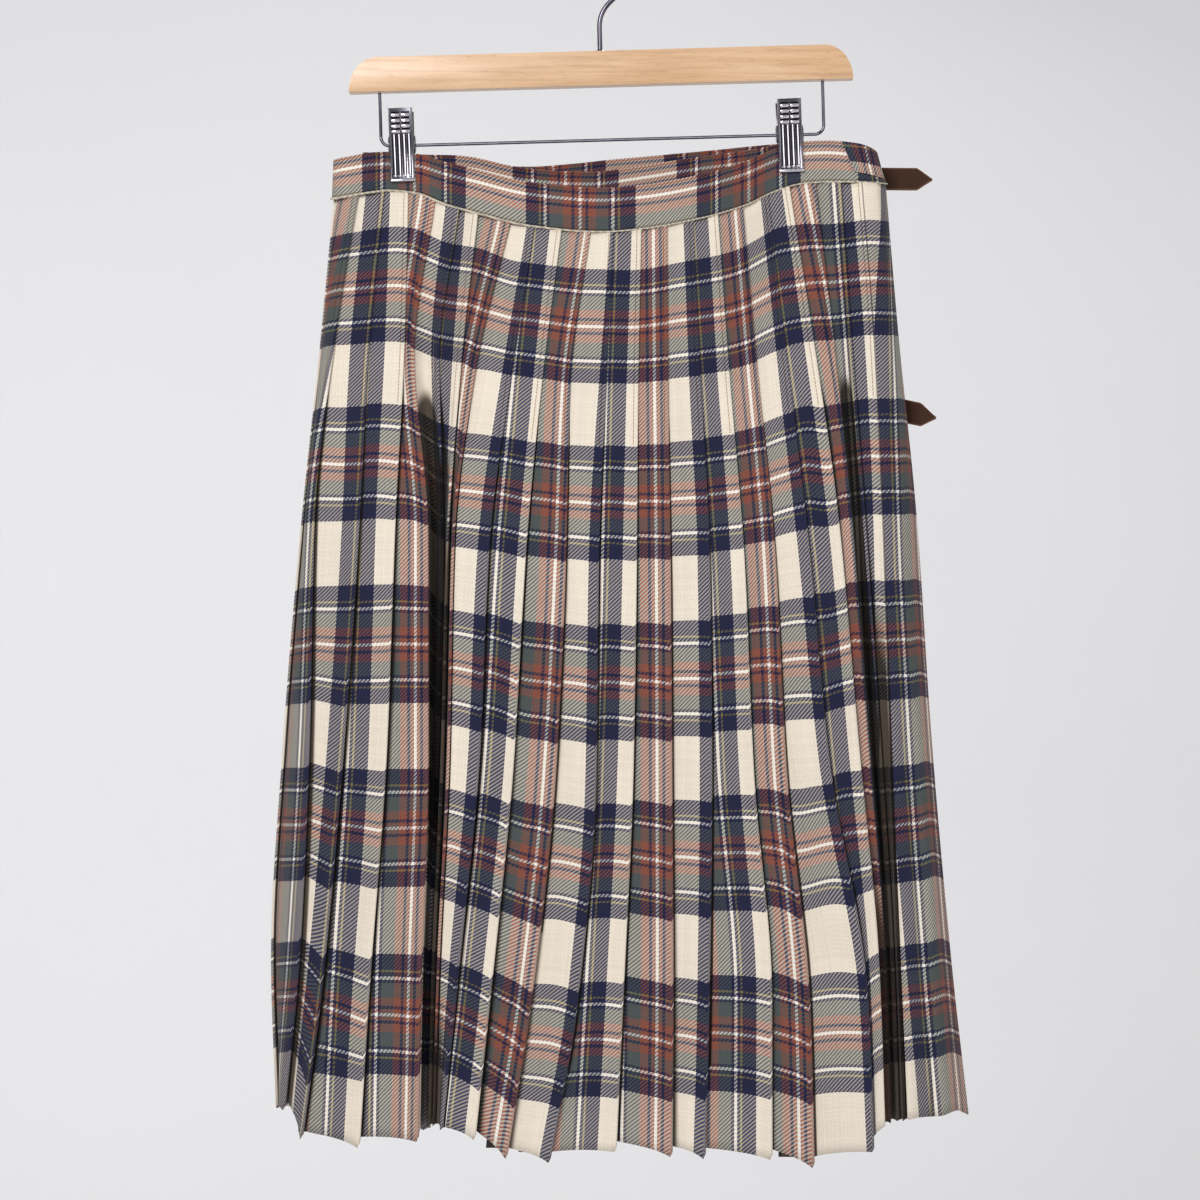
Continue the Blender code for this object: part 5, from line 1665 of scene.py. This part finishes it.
def make_hook():
    """The stem, its bend into the crook, a rounded tip, and a collar on the wood."""
    radius = CROOK_RADIUS + HOOK_WIRE
    middle_z = HOOK_WIRE - radius
    first = math.radians(CROOK_FROM)
    end = Vector((radius * math.cos(first), 0.0, middle_z + radius * math.sin(first)))
    start = Vector((0.0, 0.0, STEM_BEND))
    pull_start = start + Vector((0.0, 0.0, STEM_PULL))
    pull_end = end - Vector((-math.sin(first), 0.0, math.cos(first))) * CROOK_PULL
    route = [(0.0, 0.0, BAR_TOP + SEAM_GAP), (0.0, 0.0, 0.5 * (BAR_TOP + STEM_BEND))]
    for step in range(16):
        share = step / 16.0
        rest = 1.0 - share
        route.append(start * rest ** 3 + pull_start * 3.0 * rest ** 2 * share
                     + pull_end * 3.0 * rest * share ** 2 + end * share ** 3)
    route += [(x, 0.0, z)
              for x, z in arc_points((0.0, middle_z), radius, CROOK_FROM, CROOK_TO, 48)]
    hook = wire_along("hook", [tilted(point) for point in route], HOOK_WIRE)
    tip = ball(HOOK_WIRE, tilted(route[-1]), 16, 10)
    bpy.ops.mesh.primitive_cone_add(
        vertices=28, radius1=COLLAR_FOOT * MM, radius2=COLLAR_TOP * MM,
        depth=COLLAR_HEIGHT * MM, location=tilted((0.0, 0.0, BAR_TOP + 0.75)) * MM)
    collar = bpy.context.object
    collar.rotation_euler = (0.0, -HANGER_TILT, 0.0)
    # The hook takes the chrome made dark for painted dark reflection.
    finish_piece(joined([hook, tip, settled(collar)]), "hook_wire", DARK_REFLECTION_CHROME, "wire",
                 "hanger_hook")


def make_rod():
    top = BAR_BOTTOM - SEAM_GAP
    bend = arc_points((LEG_X - LEG_BEND, ROD_Z + LEG_BEND), LEG_BEND, 0.0, -90.0, 12)
    route = [(-LEG_X, top), *((-x, z) for x, z in bend), *reversed(bend), (LEG_X, top)]
    rod = wire_along("rod", [tilted((x, 0.0, z)) for x, z in route], ROD_WIRE)
    made_of(PAINTED_REFLECTION_WIRE, made_of(DARK_REFLECTION_CHROME, rod))
    # The rod and its bends take the painted reflection; the legs take the chrome made dark
    # for painted dark reflection.
    for face in rod.data.polygons:
        face.material_index = 1 if face.center.z < (ROD_Z + 0.8 * LEG_BEND) * MM else 0
    finish_piece(rod, "clip_rod", None, "wire", "hanger_wire")


def round_bar(radius, length, place):
    """A short bar across, with its ends rounded."""
    thing = cylinder_across(radius, length, place, 12)
    with editing():
        pick(thing, "face", lambda face: abs(face.normal.x) > 0.9)
        bpy.ops.mesh.bevel(offset=0.3 * radius * MM, segments=2)
    return thing


def clip_plate(side, pivot):
    """One plate of a clip in its own upright frame; side is -1 at the front."""
    half = 0.5 * CLIP_HEIGHT
    rim_x = 0.5 * CLIP_WIDTH - RIM
    lip_z = LIP_HEIGHT - half
    plate = block((CLIP_WIDTH, CLIP_WALL, CLIP_HEIGHT),
                  (0.0, side * (JAW_Y + 0.5 * CLIP_WALL), 0.0))
    with editing():
        for height in (pivot, lip_z):
            cut_at((0.0, 0.0, height), (0.0, 0.0, 1.0))
        for edge_x in (rim_x, -rim_x):
            cut_at((edge_x, 0.0, 0.0), (1.0, 0.0, 0.0))
        pick(plate, "face", lambda face: face.normal.y * side > 0.9
             and (abs(face.calc_center_median().x) > rim_x * MM
                  or face.calc_center_median().z < lip_z * MM))
        bpy.ops.mesh.extrude_region_move(TRANSFORM_OT_translate={
            "value": (0.0, side * (LIP_WALL - CLIP_WALL) * MM, 0.0)})
        pick(plate, "vert", lambda vert: vert.co.z > (half - 0.01) * MM)
        bpy.ops.transform.translate(value=(0.0, side * CLIP_SPLAY * MM, 0.0))
    apply_rounding(plate, 0.3, 2, 40.0)

    slope = CLIP_SPLAY / (half - pivot)

    def stood_off(across, up, proud):
        """A place that stands this far proud of the plate's outer face."""
        return (across, side * (JAW_Y + CLIP_WALL + proud + slope * max(0.0, up - pivot)),
                up)

    # A near-black strip sunk beside a rib or above a grip bar: painted dark reflection.
    def groove(ends, proud, wire):
        return made_of(CLIP_GROOVE_DARK_REFLECTION, wire_along(
            "groove", [stood_off(*end, proud) for end in ends], wire, sides=2))

    # The plate takes the painted dark reflection; its ribs, knobs and bars the painted bright
    # one.
    parts = [made_of(CLIP_PLATE_DARK_REFLECTION, plate)]
    heights = (RIB_FROM, min(RIB_TO, pivot), RIB_TO) if pivot < 7.5 else (RIB_FROM, RIB_TO)
    for across in RIB_PLACES:
        parts.append(made_of(CLIP_RIB_BRIGHT_REFLECTION, wire_along(
            "rib", [stood_off(across, up, 0.30) for up in heights], RIB_WIRE, sides=2)))
        for aside in (-GROOVE_ASIDE, GROOVE_ASIDE):
            parts.append(groove([(across + aside, up) for up in heights], -0.32,
                                GROOVE_WIRE))
        knob = ball(KNOB_RADIUS, (across, side * (JAW_Y + CLIP_WALL + 0.25), KNOB_Z), 12, 8)
        parts.append(made_of(CLIP_RIB_BRIGHT_REFLECTION, knob))
    lip_y = side * (JAW_Y + LIP_WALL - LIP_BAR_SUNK)
    parts.append(made_of(CLIP_RIB_BRIGHT_REFLECTION, round_bar(LIP_BAR, CLIP_WIDTH + 0.4,
                                             (0.0, lip_y, LIP_BAR - half))))
    for across in GRIP_PLACES:
        for up in GRIP_HEIGHTS:
            parts.append(made_of(CLIP_RIB_BRIGHT_REFLECTION, round_bar(GRIP_RADIUS, GRIP_LENGTH,
                                                     stood_off(across, up, 0.1))))
            parts.append(groove([(across + end, up + 1.95) for end in (-2.9, 2.9)], -0.2,
                                0.62))
    return parts


def clip_ears(pivot):
    """The two curved cheeks through which the rod passes, between the plates."""
    parts = []
    for end in (-1.0, 1.0):
        cheek = cylinder_across(CHEEK_RADIUS, 1.0,
                                (end * (0.5 * CLIP_WIDTH + 0.3), 0.0, pivot), 28)
        with editing():
            pick(cheek, "face", lambda face: face.normal.x * end > 0.9)
            bpy.ops.mesh.inset(thickness=1.2 * MM, depth=0.5 * MM)
            pick(cheek, "vert", lambda vert: vert.co.z > (pivot + 2.0) * MM)
            bpy.ops.transform.resize(value=(1.0, 1.0, 1.25),
                                     center_override=Vector((0.0, 0.0, pivot)) * MM)
        # The cheeks take the plate's painted dark reflection.
        parts.append(made_of(CLIP_PLATE_DARK_REFLECTION, cheek))
    return parts


def make_clip(name, x, z):
    rod_z = ROD_Z + math.tan(HANGER_TILT) * x
    pivot = rod_z - z
    for part, side in (("front", -1.0), ("back", 1.0)):
        plate = joined(clip_plate(side, pivot) + (clip_ears(pivot) if side > 0.0 else []))
        plate.location = Vector((x, 0.0, z)) * MM
        plate.rotation_euler = (0.0, CLIP_LEAN, 0.0)
        finish_piece(settled(plate), "clip_plate_" + name + "_" + part, None, "chrome",
                     "clip_" + name + "_" + part)

    # The spring: turns on the rod, and a leg against each plate.
    coil = arc_points((0.0, rod_z), SPRING_RADIUS, 0.0, 360.0 * SPRING_TURNS,
                      14 * SPRING_TURNS)
    route = []
    for step, (y, coil_z) in enumerate(coil):
        across = (step / (len(coil) - 1) - 0.5) * (SPRING_LENGTH - 1.2)
        route.append((x + across, y, coil_z + math.tan(HANGER_TILT) * across))
    legs = [(end[0], SPRING_LEG_Y, end[2] + SPRING_LEG) for end in (route[0], route[-1])]
    # The coil takes the chrome made dark for painted dark reflection.
    finish_piece(wire_along("spring", [legs[0], *route, legs[1]], SPRING_WIRE, sides=2),
                 "clip_coil_" + name, DARK_REFLECTION_CHROME, "chrome", "clip_" + name + "_spring")


make_bar()
make_hook()
make_rod()
for clip_row in CLIPS:
    make_clip(*clip_row)


# ------------------------------------------------------------------------------- the stage
def make_stage():
    """A plain pale floor that sweeps up into a wall, well behind the kilt."""
    bpy.ops.mesh.primitive_plane_add(size=1.0, location=(0.0, 0.0, -1.6))
    floor = bpy.context.object
    floor.scale = (14.0, 6.8, 1.0)
    settled(floor)
    with editing():
        pick(floor, "edge", lambda edge: all(v.co.y > 3.0 for v in edge.verts))
        bpy.ops.mesh.extrude_region_move(TRANSFORM_OT_translate={"value": (0.0, 0.0, 6.0)})
        pick(floor, "edge",
             lambda edge: all(v.co.y > 3.0 and v.co.z < -1.5 for v in edge.verts))
        bpy.ops.mesh.bevel(offset=0.8, segments=24)
    floor.name = "studio_sweep"
    made_of(WALL_PAINT, floor)
    bpy.ops.object.shade_smooth()


make_stage()
for name, place, aim, size, power in (
        ("key", (-1.15, -2.65, 0.95), (0.05, 0.0, -0.5), 1.3, 62.5),
        ("fill", (2.2, -2.4, 0.1), (0.05, 0.0, -0.5), 1.8, 19.0),
        ("left wall wash", (-1.5, 1.0, -0.3), (-0.9, 3.4, -0.4), 1.8, 21.0),
        ("right wall wash", (1.7, 1.0, -0.3), (0.9, 3.4, -0.4), 1.8, 8.5),
        ("back light", (0.7, 2.5, 1.7), (0.0, 0.0, -0.5), 0.9, 26.0)):
    lamp = bpy.data.lights.new(name, "AREA")
    lamp.shape = "DISK"
    lamp.size = size
    lamp.energy = power
    thing = bpy.data.objects.new(name, lamp)
    bpy.context.scene.collection.objects.link(thing)
    thing.location = place
    towards = Vector(aim) - Vector(place)
    thing.rotation_euler = towards.to_track_quat("-Z", "Y").to_euler()

world = bpy.data.worlds.new("soft room")
world.use_nodes = True
background = world.node_tree.nodes["Background"].inputs
background["Color"].default_value = (0.86, 0.87, 0.90, 1.0)
background["Strength"].default_value = 0.51
bpy.context.scene.world = world
bpy.context.scene.view_settings.view_transform = "Standard"

camera = bpy.data.cameras.new("front")
camera.lens = 92.04
camera.sensor_width = 36.0
camera.clip_start = 0.1
camera.clip_end = 60.0
viewer = bpy.data.objects.new("front", camera)
bpy.context.scene.collection.objects.link(viewer)
viewer.location = (VIEW_SIDE * MM, -VIEW_DISTANCE * MM, VIEW_HEIGHT * MM)
viewer.rotation_euler = (0.5 * math.pi, 0.0, 0.0)
bpy.context.scene.camera = viewer
